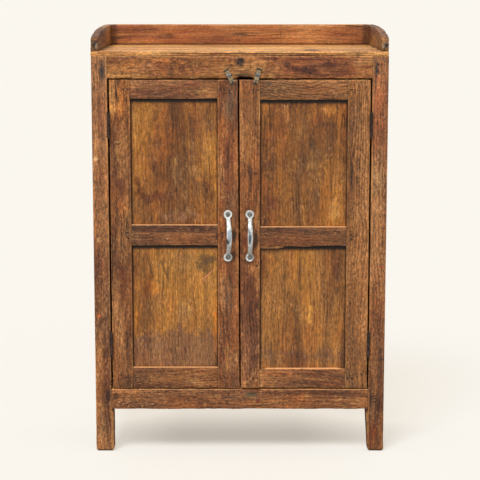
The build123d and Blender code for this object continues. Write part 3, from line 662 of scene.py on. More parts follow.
tenon = 0.025         # hidden at each end of a front or rear rail, all but 3 mm
underTop = ((0, 0, 0), (0, 0, 0.0025))   # the frame's upper edges run up into the top's planks
sideTenon = 0.015
doorTenon = 0.027
tongue = 0.0044       # of a panel, hidden in its groove
fine, coarse = (0.005, 0.005, 0.005), (0.007, 0.007, 0.007)   # cells of the boards' meshes
legRings = (0.112, 0.104)   # heights between which a leg changes its width, under the rail


def dirtyEnds(axis, strength):
    # grime where both ends of a rail meet the posts or stiles
    return ((f"-{axis}", 0.0055, strength), (f"+{axis}", 0.0055, strength))


def widenLeg(piece):
    # below the rail the leg's inner side stands a little proud
    for height in legRings:
        cutAcross(piece, (0, 0, height), (0, 0, 1))
    moveCorners(piece, lambda co: co.x > -0.34 and co.z < 0.105, (0.0052, 0, 0))


def taperLeg(piece):
    # just under the rail its inner side stands proud, and it tapers to the foot
    for height in legRings:
        cutAcross(piece, (0, 0, height), (0, 0, 1))
    moveCorners(piece, lambda co: co.x < 0.34 and 0.05 < co.z < 0.105, (-0.006, 0, 0))


frontLeftPost = {
    "wood": {
        "seed": 1.3, "shade": 0.0, "bands": 0.3, "orange": 0.15, "warm": (152, 98, 60), "level": 0.98,
        "grimeAndShade": (("-z", 0.0055, 0.85),),
        "marks": [
            *bands((-354, 900, 24, 110, (124, 72, 44), 0.7), (-354, 640, 24, 90, (170, 122, 78), 0.4),
                   (-354, 350, 24, 36, (112, 70, 48), 0.6), (-354, 60, 30, 70, (146, 102, 70), 0.6)),
            *spots((-346, 985, 9, 38, (44, 36, 34), 0.9, 0.8), (-362, 1002, 3, 9, (52, 36, 28), 0.7)),
            spot(-341, 150, 9, 22, (54, 34, 24), 0.85, rings=5),
            *spots((-364, 361, 6, 6, (224, 118, 50), 0.85), (-362, 560, 5, 9, (206, 158, 112), 0.6)),
            spot(-350, 310, 12, 40, (98, 60, 42), 0.4, soft=0.9, rings=7),
            spot(-364, 768, 8, 5, (230, 190, 150), 0.75, ragged=2.2),
        ],
    },
    "plan": {"cell": fine, "chip": 0.0012, "hollow": 0.0006, "shape": widenLeg, "stepped": 2, "foot": 0.0045,
             "into": underTop},
}
frontRightPost = {
    "wood": {
        "seed": 2.1, "shade": 0.02, "level": 0.85, "bands": 0.4, "rings": 0.5, "orange": 0.2,
        "grimeAndShade": (("-z", 0.0055, 0.85),),
        "marks": [
            *bands((352, 925, 24, 110, (176, 96, 50), 0.75), (354, 735, 26, 70, (186, 136, 90), 0.4),
                   (354, 350, 26, 60, (124, 70, 44), 0.7), (354, 110, 26, 50, (138, 94, 64), 0.5),
                   (348, 52, 9, 24, (168, 84, 50), 0.7)),
            *spots((346, 992, 7, 22, (44, 34, 30), 0.8, 0.8, 2.4), (343.5, 994, 5, 17, (44, 34, 30), 0.85),
                   (349, 985, 3, 4, (40, 30, 26), 0.85), (345, 1010, 4, 4, (44, 32, 28), 0.8),
                   (364, 489, 9, 3, (176, 62, 38), 0.8, 0.7), (370, 430, 4, 40, (60, 40, 30), 0.5, 0.8),
                   (340, 144, 6, 22, (52, 36, 28), 0.6)),
            *pegDots((353, 447), (345, 443), (341, 432), (345.8, 156), (339.6, 147.7), (350.7, 142),
                     (341, 130), (351, 134)),
        ],
    },
    "plan": {"cell": fine, "chip": 0.0012, "hollow": 0.0006, "shape": taperLeg, "stepped": 2, "foot": 0.0045,
             "into": underTop},
}
frontTopRail = {
    "wood": {
        "grain": "x", "seed": 5.2, "shade": 0.05, "warm": (164, 102, 54), "pale": (198, 138, 84),
        "rings": 0.55, "ringPitch": 0.009, "ringSway": 0.11, "wander": 0.016, "bands": 0.4,
        "grimeAndShade": dirtyEnds("x", 0.55), "sheen": 0.5, "level": 0.98, "specks": 0.25,
        "mottle": 0.34,
        "marks": [
            *bands((190, 996, 165, 60, (122, 62, 31), 0.95, 0.5, 1.2),
                   (160, 992, 56, 17, (92, 44, 22), 0.95, 0.8, 2.4),
                   (226, 1006, 44, 15, (88, 46, 28), 0.9, 0.8, 2.4),
                   (68, 1021, 32, 7, (104, 56, 32), 0.9, 0.7, 2),
                   (255, 986, 40, 10, (112, 62, 34), 0.8, 0.8, 2.4)),
            spot(176, 1019, 84, 3.4, (66, 34, 22), 0.75, soft=0.8, ragged=1.6, lean=9),
            *spots((117, 1008, 12, 10, (70, 40, 28), 0.75, 0.8, 2.6),
                   (119, 1001, 3, 3, (34, 22, 18), 0.9, 0.4), (106, 1013, 3, 4, (40, 26, 20), 0.85, 0.4),
                   (178, 985, 7, 5, (40, 26, 22), 0.85, 0.5, 2), (165, 996, 3, 4, (44, 26, 20), 0.8, 0.4)),
            *bands((-230, 1000, 70, 30, (196, 128, 78), 0.5), (-90, 996, 60, 20, (148, 86, 46), 0.6)),
            spot(205, 981, 60, 4, (60, 32, 22), 0.6, soft=0.8, ragged=2),
            band(300, 1014, 34, 10, (186, 124, 74), 0.7, soft=0.8, ragged=2),
            band(-196, 1002, 26, 24, (190, 104, 48), 0.7, rings=6),
            band(-148, 994, 22, 20, (148, 80, 42), 0.7, rings=6),
            *spots((-272, 998, 14, 4, (66, 44, 34), 0.6, 0.5, 2.4),
                   (-296, 988, 10, 3, (70, 48, 38), 0.5, 0.5, 2.4)),
            spot(0, 1014, 17, 17, (62, 40, 30), 0.95, soft=0.6, rings=5, ragged=1.8),
            *spots((4, 1019, 7, 8, (28, 20, 18), 0.9, 0.5, 1.4),
                   (-4, 1010, 6, 5, (34, 24, 20), 0.85, 0.5, 1.4),
                   (5, 980.5, 27, 6.5, (84, 64, 44), 0.9, 0.5, 1.2),
                   # painted highlight on the torn edge above the notch
                   (-6, 985.5, 15, 2.6, (196, 146, 100), 0.7, 0.7, 1.6)),
        ],
    },
    "plan": {
        "trim": (tenon, 0, 0), "cell": fine, "into": underTop,
        "dents": [
            dent((0.014, -0.192, 0.971), 0.008, (0, 0, 0.0045), near=(0.015, 0.010, 0.003)),
            dent((0.002, -0.2, 0.971), 0.007, (0, 0.003, 0.002)),
            dent((0.026, -0.2, 0.971), 0.009, (0, 0.0035, 0.001)),
            dent((-0.062, -0.2, 0.971), 0.010, (0, 0.002, 0.0012)),
            dent((0.0, -0.2, 1.013), 0.008, (0, 0.0012, 0)),
        ],
    },
}
frontBottomRail = {
    "wood": {
        "grain": "x", "seed": 6.4, "shade": -0.03, "rings": 0.4, "ringSway": 0.08, "bands": 0.5,
        "grimeAndShade": dirtyEnds("x", 0.6), "topEdgeHighlight": 0.4, "level": 0.98,
        "marks": [
            *spots((33, 151, 24, 8, (84, 78, 56), 0.85, 0.7), (30, 155, 12, 3, (46, 42, 32), 0.7),
                   (47, 136, 4, 8, (112, 28, 22), 0.8, 0.7), (167, 136, 5, 5, (108, 34, 24), 0.7)),
            spot(-322, 148, 12, 14, (70, 44, 30), 0.6, soft=0.8, rings=4),
            *spots((-120, 135, 60, 6, (80, 50, 36), 0.5, 0.9, 3),
                   (120, 128, 50, 6, (84, 52, 36), 0.5, 0.9, 3)),
            *pegDots((-248, 158), (-233.5, 158), (-111, 155.5), (-28, 155.5), (247.5, 158), (266, 158.5)),
        ],
    },
    "plan": {
        "trim": (tenon, 0, 0), "cell": fine,
        "dents": [
            dent((0.033, -0.2, 0.153), 0.012, (0, 0.0022, 0), near=(0.016, 0.002, 0.007)),
            dent((0.03, -0.2, 0.168), 0.012, (0, 0.002, -0.002), near=(0.02, 0.004, 0.003)),
        ],
    },
}

for node, board in (("front_left_post", frontLeftPost), ("front_right_post", frontRightPost),
                    ("front_top_rail", frontTopRail), ("front_bottom_rail", frontBottomRail)):
    makeBoard(node, "carcass", board["wood"], board["plan"])

for node, seed in (("rear_left_post", 3.7), ("rear_right_post", 4.9)):
    makeBoard(node, "carcass", {"seed": seed, "shade": -0.02},
              {"cell": coarse, "foot": 0.0038, "into": underTop})
for node, seed in (("rear_top_rail", 7.1), ("rear_bottom_rail", 8.3)):
    makeBoard(node, "carcass",
              {"grain": "x", "seed": seed, "shade": -0.03, "grimeAndShade": dirtyEnds("x", 0.6)},
              {"trim": (tenon, 0, 0), "cell": coarse})

sideRail = {
    "wood": {"grain": "y", "rings": 0.45, "topEdgeHighlight": 0.5, "grimeAndShade": dirtyEnds("y", 0.6)},
    "plan": {"trim": (0, sideTenon, 0), "cell": (0.006, 0.006, 0.006)},
}
sidePanel = {
    "wood": {"pale": (194, 132, 60), "warm": (158, 102, 46), "shade": 0.02, "bands": 0.6,
             # painted shadow under the upper rail, and painted shade along the sides and the foot of the
             # recess
             "edgeWear": 0, "grimeAndShade": (("+z", 0.016, 1.0), ("-y", 0.0075, 0.85), ("+y", 0.0075, 0.85),
                                      ("-z", 0.005, 0.6))},
    "plan": {"trim": (0, tongue, tongue), "cell": (0.008, 0.008, 0.008), "chip": 0},
}
for side, first in (("left", 9.2), ("right", 12.9)):
    for i, level in enumerate(("top", "middle", "bottom")):
        makeBoard(f"{side}_side_{level}_rail", "carcass",
                  {**sideRail["wood"], "seed": first + 1.7 * i}, sideRail["plan"])
    for i, level in enumerate(("upper", "lower")):
        makeBoard(f"{side}_side_{level}_panel", "carcass",
                  {**sidePanel["wood"], "seed": first + 5 + 1.9 * i}, sidePanel["plan"])

innerBoards = {
    "wood": {"pale": (186, 138, 92), "warm": (150, 106, 68), "brown": (120, 82, 54), "dark": (78, 52, 36),
             "sheen": 0.7, "bands": 0.45, "orange": 0.1, "level": 0.85},
    "plan": {"cell": (0.012, 0.012, 0.012), "chip": 0.0012, "round": 0.001, "hollow": 0.0005},
}
# neighbouring boards are pushed up tight, so that no light shows between them
ledgeSpans = [(-0.1776, -0.0515), (-0.0569, 0.0720), (0.0666, 0.1935)]
ledgeSeams = [(1, -0.0542), (1, 0.0693)]
backSeams = [(0, -0.16625), (0, 0.0), (0, 0.16625)]
backSpans = [(-0.3350, -0.1635), (-0.1690, 0.0028), (-0.0028, 0.1690), (0.1635, 0.3350)]
makeBoard("floor_boards", "carcass",
          {**innerBoards["wood"], "grain": "x", "seed": 17.3, "seams": ledgeSeams},
          {**innerBoards["plan"], "across": 1}, ledgeSpans)
makeBoard("shelf_boards", "carcass",
          {**innerBoards["wood"], "grain": "x", "seed": 18.9, "seams": ledgeSeams},
          {**innerBoards["plan"], "across": 1}, ledgeSpans)
makeBoard("back_boards", "carcass", {**innerBoards["wood"], "seed": 19.7, "seams": backSeams},
          {**innerBoards["plan"], "across": 0}, backSpans)

topBoard = {
    "wood": {"grain": "x", "pale": (228, 170, 108), "warm": (200, 142, 86), "brown": (162, 104, 60),
             "dark": (104, 64, 38), "edge": (214, 160, 108), "shade": 0.04, "bands": 0.5,
             "cracks": 0.8, "rings": 0.45, "sheen": 0.55, "ash": 0.15, "level": 1.2, "flecks": 0.3,
             "specks": 0.3, "edgeWear": 0.12, "mottle": 0.3},
    "plan": {"cell": fine, "hollow": 0.0012, "chip": 0.0018, "chipReach": 0.005},
}
topMarks = {
    "top_front_board": [
        mark((0.183, -0.13, 1.04), (0.024, 0.08, 0.012), (84, 50, 30), 0.9, soft=0.4),
        mark((0, -0.205, 1.0265), (0.338, 0.012, 0.0085), (150, 94, 54), 0.95, soft=0.25, ragged=0.5,
             tint=True),
        mark((0.22, -0.205, 1.0265), (0.14, 0.012, 0.012), (118, 70, 42), 0.8, soft=0.4, ragged=0.8,
             tint=True),
        mark((0.02, -0.2, 1.0342), (0.33, 0.01, 0.0019), (44, 26, 18), 0.9, soft=0.5, ragged=0.6),
        mark((0, -0.2, 1.0275), (0.4, 0.01, 0.0012), (58, 34, 24), 0.5, ragged=2.2),
        mark((0.372, -0.15, 1.034), (0.01, 0.02, 0.01), (60, 40, 32), 0.8),
    ],
    "top_middle_board": [
        mark((0.178, 0.0, 1.04), (0.024, 0.06, 0.02), (122, 78, 48), 0.6, soft=0.8),
    ],
    "top_rear_board": [],
}
for i, node in enumerate(topMarks):
    makeBoard(node, "carcass",
              {**topBoard["wood"], "seed": 20.3 + 2.1 * i, "marks": topMarks[node]}, topBoard["plan"])

# the side board's upper edge, as places from the front with the height left there
galleryProfile = ((-0.196, 1.0715), (-0.15, 1.0800), (-0.09, 1.0865), (-0.03, 1.0912), (0.05, 1.0945))


def slopeTop(piece):
    # the side board's top runs down to a low nose at the front
    top = max(v.co.z for v in piece.data.vertices)
    for y, height in galleryProfile[1:]:
        cutAcross(piece, (0, y, 0), (0, 1, 0))
    for y, height in galleryProfile:
        moveCorners(piece, lambda co: co.z > top - 0.0001 and abs(co.y - y) < 0.001, (0, 0, height - top))


for side, sign, seed in (("left", -1, 25.1), ("right", 1, 26.8)):
    nose = [
        dent((sign * 0.3655, -0.196, 1.071), 0.011, (0, 0.0035, -0.0035), near=(0.012, 0.004, 0.004)),
        dent((sign * 0.362, -0.196, 1.062), 0.007, (0, 0.003, 0)),
        dent((sign * 0.371, -0.196, 1.052), 0.006, (-sign * 0.001, 0.0022, 0)),
        dent((sign * 0.368, -0.12, 1.081), 0.014, (0, 0, -0.0018)),
        dent((sign * 0.36, -0.02, 1.089), 0.016, (0, 0, -0.0016)),
    ]
    makeBoard(f"gallery_{side}_board", "carcass",
              {"grain": "y", "seed": seed, "shade": -0.03, "warm": (150, 104, 58), "level": 0.88,
               "ash": 0.15, "orange": 0.15, "flecks": 0.3, "streaks": 0.6,
               # painted shade along its foot, where it stands on the top
               "grimeAndShade": (("-z", 0.005, 0.6),), "edge": (206, 164, 122), "edgeWear": 0.7,
               "marks": [
                   mark((sign * 0.3655, -0.196, 1.058), (0.013, 0.008, 0.017), (40, 30, 27), 0.85,
                        soft=0.6, ragged=2.4),
                   mark((sign * 0.36, -0.194, 1.052), (0.004, 0.006, 0.006), (186, 168, 148), 0.6, ragged=2.5),
                   mark((sign * 0.37, -0.16, 1.077), (0.008, 0.03, 0.01), (88, 56, 38), 0.5, soft=0.8),
               ]},
              {"cell": fine, "chip": 0.003, "chipReach": 0.008, "shape": slopeTop, "stepped": 1, "dents": nose,
               "into": ((0, 0, 0.003), (0, 0, 0))})
makeBoard("gallery_back_board", "carcass",
          {"grain": "x", "seed": 28.4, "shade": 0.02, "pale": (198, 142, 92), "warm": (172, 110, 66),
           "brown": (148, 86, 54), "dark": (100, 58, 38), "bands": 0.35, "cracks": 0.8, "rings": 0.3,
           "ringSway": 0.05, "orange": 0.15, "topEdgeHighlight": 0.3, "level": 1.08, "streaks": 0.5, "fibres": 0.35,
           "mottle": 0.24, "flecks": 0.15, "specks": 0.2, "pores": 0.3,
           # darker towards both inner corners, painted shade with some grime, and a painted shadow line along
           # its foot
           "grimeAndShade": (("-x", 0.022, 0.55), ("+x", 0.022, 0.55), ("-z", 0.0045, 0.8)),
           "marks": [
               mark((0.113, 0.2, 1.068), (0.0016, 0.03, 0.019), (60, 32, 24), 0.75, ragged=2.2),
           ]},
          {"cell": fine, "into": ((0.004, 0, 0.003), (0.004, 0, 0))})
print("carcass boards made")

doorStile = {"cell": fine, "chip": 0.0014, "hollow": 0.0006, "round": 0.0013}
doorRail = {"trim": (doorTenon, 0, 0), "cell": fine, "chip": 0.0016}
railEnds = dirtyEnds("x", 0.55)
doorPanel = {"trim": (tongue, 0, tongue), "cell": (0.006, 0.006, 0.006), "chip": 0, "hollow": 0.0006}
panelWood = {"pale": (192, 128, 56), "warm": (156, 98, 44), "brown": (116, 70, 36), "dark": (68, 40, 24),
             "edgeWear": 0, "bandScale": (48, 20, 1.9), "streaks": 0.6, "fibres": 0.55, "run": 6,
             "flecks": 0.4, "specks": 0.3, "mottle": 0.24, "pores": 0.4,
             # painted shadow under the upper rail, and painted shade along the sides and the foot of the
             # recess
             "grimeAndShade": (("+z", 0.0165, 1.0), ("-x", 0.0085, 0.9), ("+x", 0.0075, 0.8), ("-z", 0.0045, 0.5)),
             "patch": (10, 8, 2.4)}
meetingLean = 0.0044   # the line where the doors meet isn't quite upright


def leanLeft(piece):
    moveCorners(piece, lambda co: co.x > -0.02 and co.z > 0.5, (-meetingLean, 0, 0))


def leanRight(piece):
    moveCorners(piece, lambda co: co.x < 0.02 and co.z < 0.5, (meetingLean, 0, 0))


leftDoor = {
    "hinge_stile": ({
        "seed": 30.2, "shade": -0.02, "level": 0.75, "bands": 0.5, "cracks": 0.9,
        "marks": [
            *bands((-305, 905, 24, 70, (222, 138, 70), 0.8),
                   (-322, 925, 14, 80, (226, 160, 100), 0.85, 0.5, 1.2),
                   (-290, 945, 8, 34, (206, 134, 78), 0.7, 0.6), (-300, 790, 24, 40, (196, 128, 72), 0.6),
                   (-300, 700, 24, 36, (112, 56, 32), 0.7), (-300, 470, 20, 70, (104, 50, 28), 0.75),
                   (-300, 640, 22, 36, (186, 108, 54), 0.6)),
            *spots((-292, 930, 3, 30, (70, 38, 24), 0.7, 0.7, 2.5),
                   (-305, 920, 2.5, 18, (84, 44, 26), 0.6, 0.7, 2.5),
                   (-296, 872, 4, 8, (82, 40, 24), 0.7, 0.5, 2.2),
                   (-309, 812, 9, 2.5, (216, 164, 112), 0.8, 0.5, 1.6),
                   (-307, 806, 8, 2, (60, 34, 22), 0.8, 0.5, 1.6), (-312, 790, 6, 14, (200, 148, 94), 0.5),
                   (-300, 690, 16, 40, (94, 50, 32), 0.4, 0.9),
                   (-300, 420, 20, 120, (112, 60, 34), 0.35, 0.9)),
            *pegDots((-285.7, 580), (-288.9, 572.5), (-285, 564.7), (-306, 205), (-288, 205)),
        ]},
        {**doorStile, "dents": [
            dent((-0.312, -0.2, 0.812), 0.008, (0, 0.0022, 0)),
            dent((-0.305, -0.2, 0.808), 0.007, (0, 0.0018, 0)),
            dent((-0.292, -0.2, 0.936), 0.007, (0, 0.0014, 0)),
        ]}),
    "lock_stile": ({
        "seed": 33.9, "shade": -0.03, "level": 1.04, "bands": 0.55, "warm": (150, 88, 48),
        "marks": [
            *bands((-28, 900, 26, 60, (170, 124, 86), 0.6), (-30, 760, 24, 90, (128, 70, 42), 0.7),
                   (-28, 420, 26, 80, (150, 104, 70), 0.6), (-28, 240, 26, 50, (172, 122, 76), 0.6)),
            # the first two are the pull's painted shadow, right of its bow and its lower eye
            *spots((-15, 574, 9, 30, (40, 26, 20), 0.85, 0.7, 1.2),
                   (-16, 520, 11, 20, (40, 26, 20), 0.8, 0.7, 1.2),
                   (-28, 700, 14, 40, (132, 72, 38), 0.4, 0.9), (-28, 885, 20, 40, (108, 84, 62), 0.35, 0.9)),
            *pegDots((-38, 943), (-33, 934), (-27, 944), (-23, 934), (-34, 704), (-31, 683), (-30.5, 657),
                     (-44, 202), (-33, 196), (-20, 199), (-14, 207)),
        ]},
        {**doorStile, "shape": leanLeft}),
    "top_rail": ({
        "grain": "x", "seed": 37.5, "shade": -0.01, "level": 0.74, "warm": (146, 88, 60),
        "brown": (116, 64, 46), "rings": 0.5, "grimeAndShade": railEnds,
        "marks": [
            *bands((-200, 946, 90, 20, (126, 68, 48), 0.6), (-95, 940, 46, 20, (170, 108, 74), 0.6)),
            *spots((-110, 945, 30, 8, (62, 36, 26), 0.45, 0.7, 4),
                   (-230, 940, 40, 8, (92, 48, 34), 0.4, 0.9, 2.5),
                   (-75, 925, 22, 3, (208, 156, 108), 0.4, 0.5, 3)),
        ]}, doorRail),
    "middle_rail": ({
        "grain": "x", "seed": 40.1, "shade": -0.05, "level": 0.9, "topEdgeHighlight": 0.8, "orange": 0.15,
        "warm": (134, 84, 54), "brown": (106, 64, 44), "rings": 0.35, "grimeAndShade": railEnds,
        "marks": [
            *pegDots((-59, 576), (-60, 570), (-59, 563), (-47, 577)),
            spot(-58, 570, 9, 15, (60, 40, 32), 0.45, soft=0.8),
        ]}, doorRail),
    "bottom_rail": ({
        "grain": "x", "seed": 42.7, "shade": 0.0, "level": 0.86, "topEdgeHighlight": 0.8, "rings": 0.5,
        "ringSway": 0.08, "grimeAndShade": railEnds,
        "marks": [spot(-170, 196, 70, 7, (196, 132, 76), 0.4, soft=0.9, ragged=3)]}, doorRail),
    "upper_panel": ({
        **panelWood, "seed": 45.3, "shade": 0.01, "bands": 0.35,
        "marks": [
            *bands((-262, 860, 15, 80, (190, 128, 64), 0.8), (-212, 825, 17, 110, (98, 58, 38), 0.8),
                   (-165, 735, 26, 52, (204, 138, 62), 0.8), (-112, 735, 24, 20, (214, 146, 68), 0.7),
                   (-100, 850, 44, 80, (120, 74, 48), 0.7)),
            band(-253, 682, 22, 54, (98, 46, 22), 0.95, lean=0.35),
            *bands((-205, 668, 60, 24, (118, 62, 34), 0.75), (-80, 690, 22, 48, (98, 50, 24), 0.9),
                   (-165, 620, 100, 24, (186, 132, 84), 0.75)),
            *spots((-80, 655, 5, 6, (206, 120, 44), 0.6, 0.8, 4),
                   (-105, 715, 12, 8, (204, 132, 64), 0.5, 0.8, 4),
                   (-176, 668, 6, 34, (62, 48, 42), 0.4, 0.9, 2.5)),
        ]}, doorPanel),
    "lower_panel": ({
        **panelWood, "seed": 48.8, "shade": 0.05, "bands": 0.35, "pale": (196, 134, 62),
        "warm": (168, 110, 52),
        "marks": [
            *bands((-150, 500, 100, 40, (158, 112, 66), 0.7), (-232, 430, 46, 44, (204, 122, 42), 0.8),
                   (-262, 355, 18, 60, (198, 124, 48), 0.7), (-140, 372, 44, 40, (186, 132, 76), 0.6)),
            spot(-84, 498, 36, 38, (82, 61, 44), 0.85, soft=0.55, ragged=1.9),
            spot(-82, 468, 2.8, 22, (222, 138, 102), 0.95, soft=0.4, ragged=0.9, lean=-1.13),
            spot(-92, 452, 1.8, 9, (206, 122, 84), 0.8, soft=0.4, ragged=0.7, lean=-1.13),
            *bands((-160, 250, 196, 94, (134, 92, 66), 0.85, 0.24, 1.1),
                   (-63, 330, 10, 130, (206, 120, 36), 0.9)),
            spot(-229, 486, 4.4, 58, (96, 62, 38), 0.8, soft=0.5, ragged=1.6, lean=0.27),
            spot(-193, 480, 4.4, 62, (104, 70, 44), 0.7, soft=0.5, ragged=1.6, lean=0.35),
        ]}, doorPanel),
}
rightDoor = {
    "hinge_stile": ({
        "seed": 51.4, "shade": 0.02, "bands": 0.35, "rings": 0.6, "level": 0.88, "orange": 0.12, "ash": 0.5,
        "ringSway": 0.06, "warm": (158, 104, 62), "brown": (124, 80, 50),
        "marks": [
            spot(300, 760, 12, 30, (96, 60, 38), 0.4, soft=0.9, rings=6),
            *spots((292, 840, 4, 60, (104, 58, 36), 0.4, 0.9), (283, 724, 3, 3, (40, 26, 20), 0.8)),
            *pegDots((283, 944), (288, 937), (300, 942), (319, 951), (282, 583), (289, 570), (296, 570),
                     (283, 561), (284, 203), (292, 196), (305, 199), (315, 206)),
        ]}, doorStile),
    "lock_stile": ({
        "seed": 54.2, "shade": 0.0, "level": 0.9, "ash": 0.3, "bands": 0.4, "rings": 0.5,
        "marks": [
            *bands((27, 810, 26, 70, (190, 124, 70), 0.6), (24, 330, 30, 190, (112, 64, 42), 0.9, 0.4)),
            *spots((27, 720, 9, 42, (66, 42, 34), 0.75, 0.7, 2),
                   (22, 742, 5, 14, (48, 34, 30), 0.6, 0.7, 2), (40, 730, 6, 5, (56, 36, 28), 0.7, 0.5, 2),
                   (20, 790, 12, 50, (184, 116, 60), 0.35, 0.9),
                   (31, 487, 15, 14, (210, 138, 82), 0.65, 0.8, 1.8),
                   (44, 493, 2.5, 2.5, (30, 20, 16), 0.95, 0.3, 0.4),
                   # the pull's painted shadow, right of its bow
                   (42, 564, 9, 34, (46, 30, 24), 0.85, 0.7, 1.4)),
            spot(14, 556, 10, 26, (116, 56, 32), 0.7, soft=0.8, rings=6),
            spot(16, 880, 14, 30, (128, 78, 50), 0.4, soft=0.9, ragged=3),
            *pegDots((24, 938), (35, 937), (20, 193), (27, 189), (35, 192)),
        ]},
        {**doorStile, "shape": leanRight}),
    "top_rail": ({
        "grain": "x", "seed": 57.6, "shade": 0.01, "level": 0.82, "rings": 1.0, "ringPitch": 0.0075,
        "ringSway": 0.075, "ringScale": (9, 5, 7), "wander": 0.014, "bands": 0.3, "fibres": 0.4,
        "streaks": 0.55, "warm": (154, 102, 62), "grimeAndShade": railEnds,
        "marks": [spot(73, 960, 9, 8, (84, 72, 66), 0.7, soft=0.8)]}, doorRail),
    "middle_rail": ({
        "grain": "x", "seed": 60.9, "shade": -0.04, "level": 0.86, "rings": 0.45, "topEdgeHighlight": 0.8,
        "orange": 0.15, "warm": (140, 88, 56), "grimeAndShade": railEnds},
        {**doorRail, "dents": [
            dent((0.07, -0.19, 0.541), 0.06, (0, 0, -0.0045), near=(0.02, 0.02, 0.003)),
            dent((0.24, -0.19, 0.541), 0.05, (0, 0, 0.003), near=(0.03, 0.02, 0.003)),
            dent((0.13, -0.2, 0.541), 0.03, (0, 0, 0.002), near=(0.008, 0.004, 0.003)),
        ]}),
    "bottom_rail": ({
        "grain": "x", "seed": 63.3, "shade": 0.02, "level": 1.04, "topEdgeHighlight": 0.85, "rings": 0.55,
        "ringSway": 0.07, "grimeAndShade": railEnds},
        {**doorRail, "dents": [
            dent((0.052, -0.19, 0.223), 0.02, (0, 0, -0.003), near=(0.006, 0.02, 0.004)),
            dent((0.272, -0.19, 0.223), 0.02, (0, 0, -0.002), near=(0.006, 0.02, 0.004)),
        ]}),
    "upper_panel": ({
        **panelWood, "seed": 66.1, "shade": 0.02, "bands": 0.4, "pale": (196, 128, 54),
        "marks": [
            *bands((84, 800, 16, 110, (102, 66, 42), 0.7), (118, 870, 14, 60, (200, 140, 76), 0.75),
                   (224, 892, 40, 16, (204, 134, 60), 0.8), (222, 856, 36, 14, (98, 58, 38), 0.8),
                   (194, 752, 36, 64, (210, 144, 66), 0.85), (265, 800, 7, 130, (90, 50, 18), 0.85),
                   (198, 676, 14, 26, (92, 56, 36), 0.75), (88, 650, 26, 50, (116, 64, 38), 0.8),
                   (160, 638, 24, 44, (180, 124, 68), 0.6), (240, 640, 26, 40, (176, 124, 72), 0.6)),
            spot(216, 752, 7, 4, (84, 54, 38), 0.6, soft=0.8, ragged=3),
        ]}, doorPanel),
    "lower_panel": ({
        **panelWood, "seed": 69.7, "shade": 0.03, "bands": 0.45, "warm": (160, 106, 56),
        # painted shadow under the upper rail, and painted shade along the sides and the foot of the recess
        "grimeAndShade": (("+z", 0.0195, 1.0), ("-x", 0.0085, 0.9), ("+x", 0.0075, 0.8), ("-z", 0.0075, 0.5)),
        "marks": [
            *bands((86, 500, 24, 44, (206, 134, 60), 0.75), (153, 468, 10, 56, (98, 60, 38), 0.75),
                   (250, 455, 16, 64, (108, 66, 44), 0.75), (182, 370, 12, 50, (206, 152, 86), 0.75),
                   (90, 370, 30, 90, (172, 110, 56), 0.5), (240, 350, 26, 60, (122, 78, 48), 0.6),
                   (165, 252, 300, 36, (134, 92, 66), 0.8)),
        ]}, {**doorPanel, "trim": (tongue, 0, 0.0014)}),
}
for side, door in (("left", leftDoor), ("right", rightDoor)):
    for part, (wood, plan) in door.items():
        makeBoard(f"{side}_door_{part}", f"{side}_door", wood, plan)
print("door boards made")


def pegFinish():
    f = Finish("teakPegs")
    rings = f.noise(f.place, (700, 700, 700), 4, 0.65)
    tone = f.ramp(rings, [(0.35, (26, 15, 10)), (0.55, (58, 34, 22)), (0.75, (104, 66, 40))])
    f.give(Base_Color=tone, Roughness=f.fade(rings, 0.3, 0.7, 0.8, 0.6))
    f.bump(rings, 0.5, 0.0006)
    return f.material


def ironFinish():
    f = Finish("rustyIron")
    rust = f.noise(f.place, (90, 90, 90), 6, 0.7)
    grit = f.noise(f.place, (900, 900, 900), 4, 0.7)
    tone = f.ramp(rust, [(0.34, (26, 20, 18)), (0.5, (46, 33, 28)), (0.62, (78, 46, 32)),
                         (0.76, (116, 64, 38))])
    tone = f.scaled(tone, f.fade(grit, 0.3, 0.7, 0.7, 1.25))
    f.give(Base_Color=tone, Roughness=f.fade(rust, 0.35, 0.7, 0.55, 0.9),
           Metallic=f.fade(rust, 0.40, 0.58, 0.6, 0.0))
    f.bump(f.plus(grit, rust), 0.5, 0.0006)
    return f.material


def zincFinish(name, marks, dull):
    # galvanised metal: bright where it is handled, blue-grey and blotched elsewhere, with marks at a few
    # places: rust, greyer eyes, and painted reflections on the bow
    f = Finish(name)
    blotch = f.noise(f.place, (130, 130, 60), 6, 0.7)
    grit = f.noise(f.place, (700, 700, 260), 4, 0.7)
    tone = f.ramp(f.minus(blotch, dull), [(0.30, (128, 128, 122)), (0.42, (184, 188, 186)),
                                          (0.52, (226, 229, 226)), (0.66, (246, 246, 242))])
    tone = f.scaled(tone, f.fade(grit, 0.3, 0.7, 0.86, 1.1))
    ragged = f.times(f.minus(f.noise(f.place, (300, 300, 300), 4, 0.65), 0.5), 1.6)
    covered = 0.0
    for stain in marks:
        offset = f.along("DIVIDE", f.along("SUBTRACT", f.place, stain["at"]), stain["size"])
        cover = f.fade(f.plus(f.along("LENGTH", offset), ragged), 1.0, 0.5, 0, stain["strength"], smooth=True)
        tone = f.over(tone, cover, stain["colour"])
        covered = f.calc("MAXIMUM", covered, cover)
    metal = f.times(f.fade(blotch, 0.40, 0.60, 0.15, 0.45), f.minus(1.0, covered))
    f.give(Base_Color=tone, Metallic=metal, Roughness=f.fade(blotch, 0.35, 0.65, 0.50, 0.26))
    f.bump(f.plus(blotch, f.times(grit, 0.4)), 0.45, 0.0008)
    return f.material


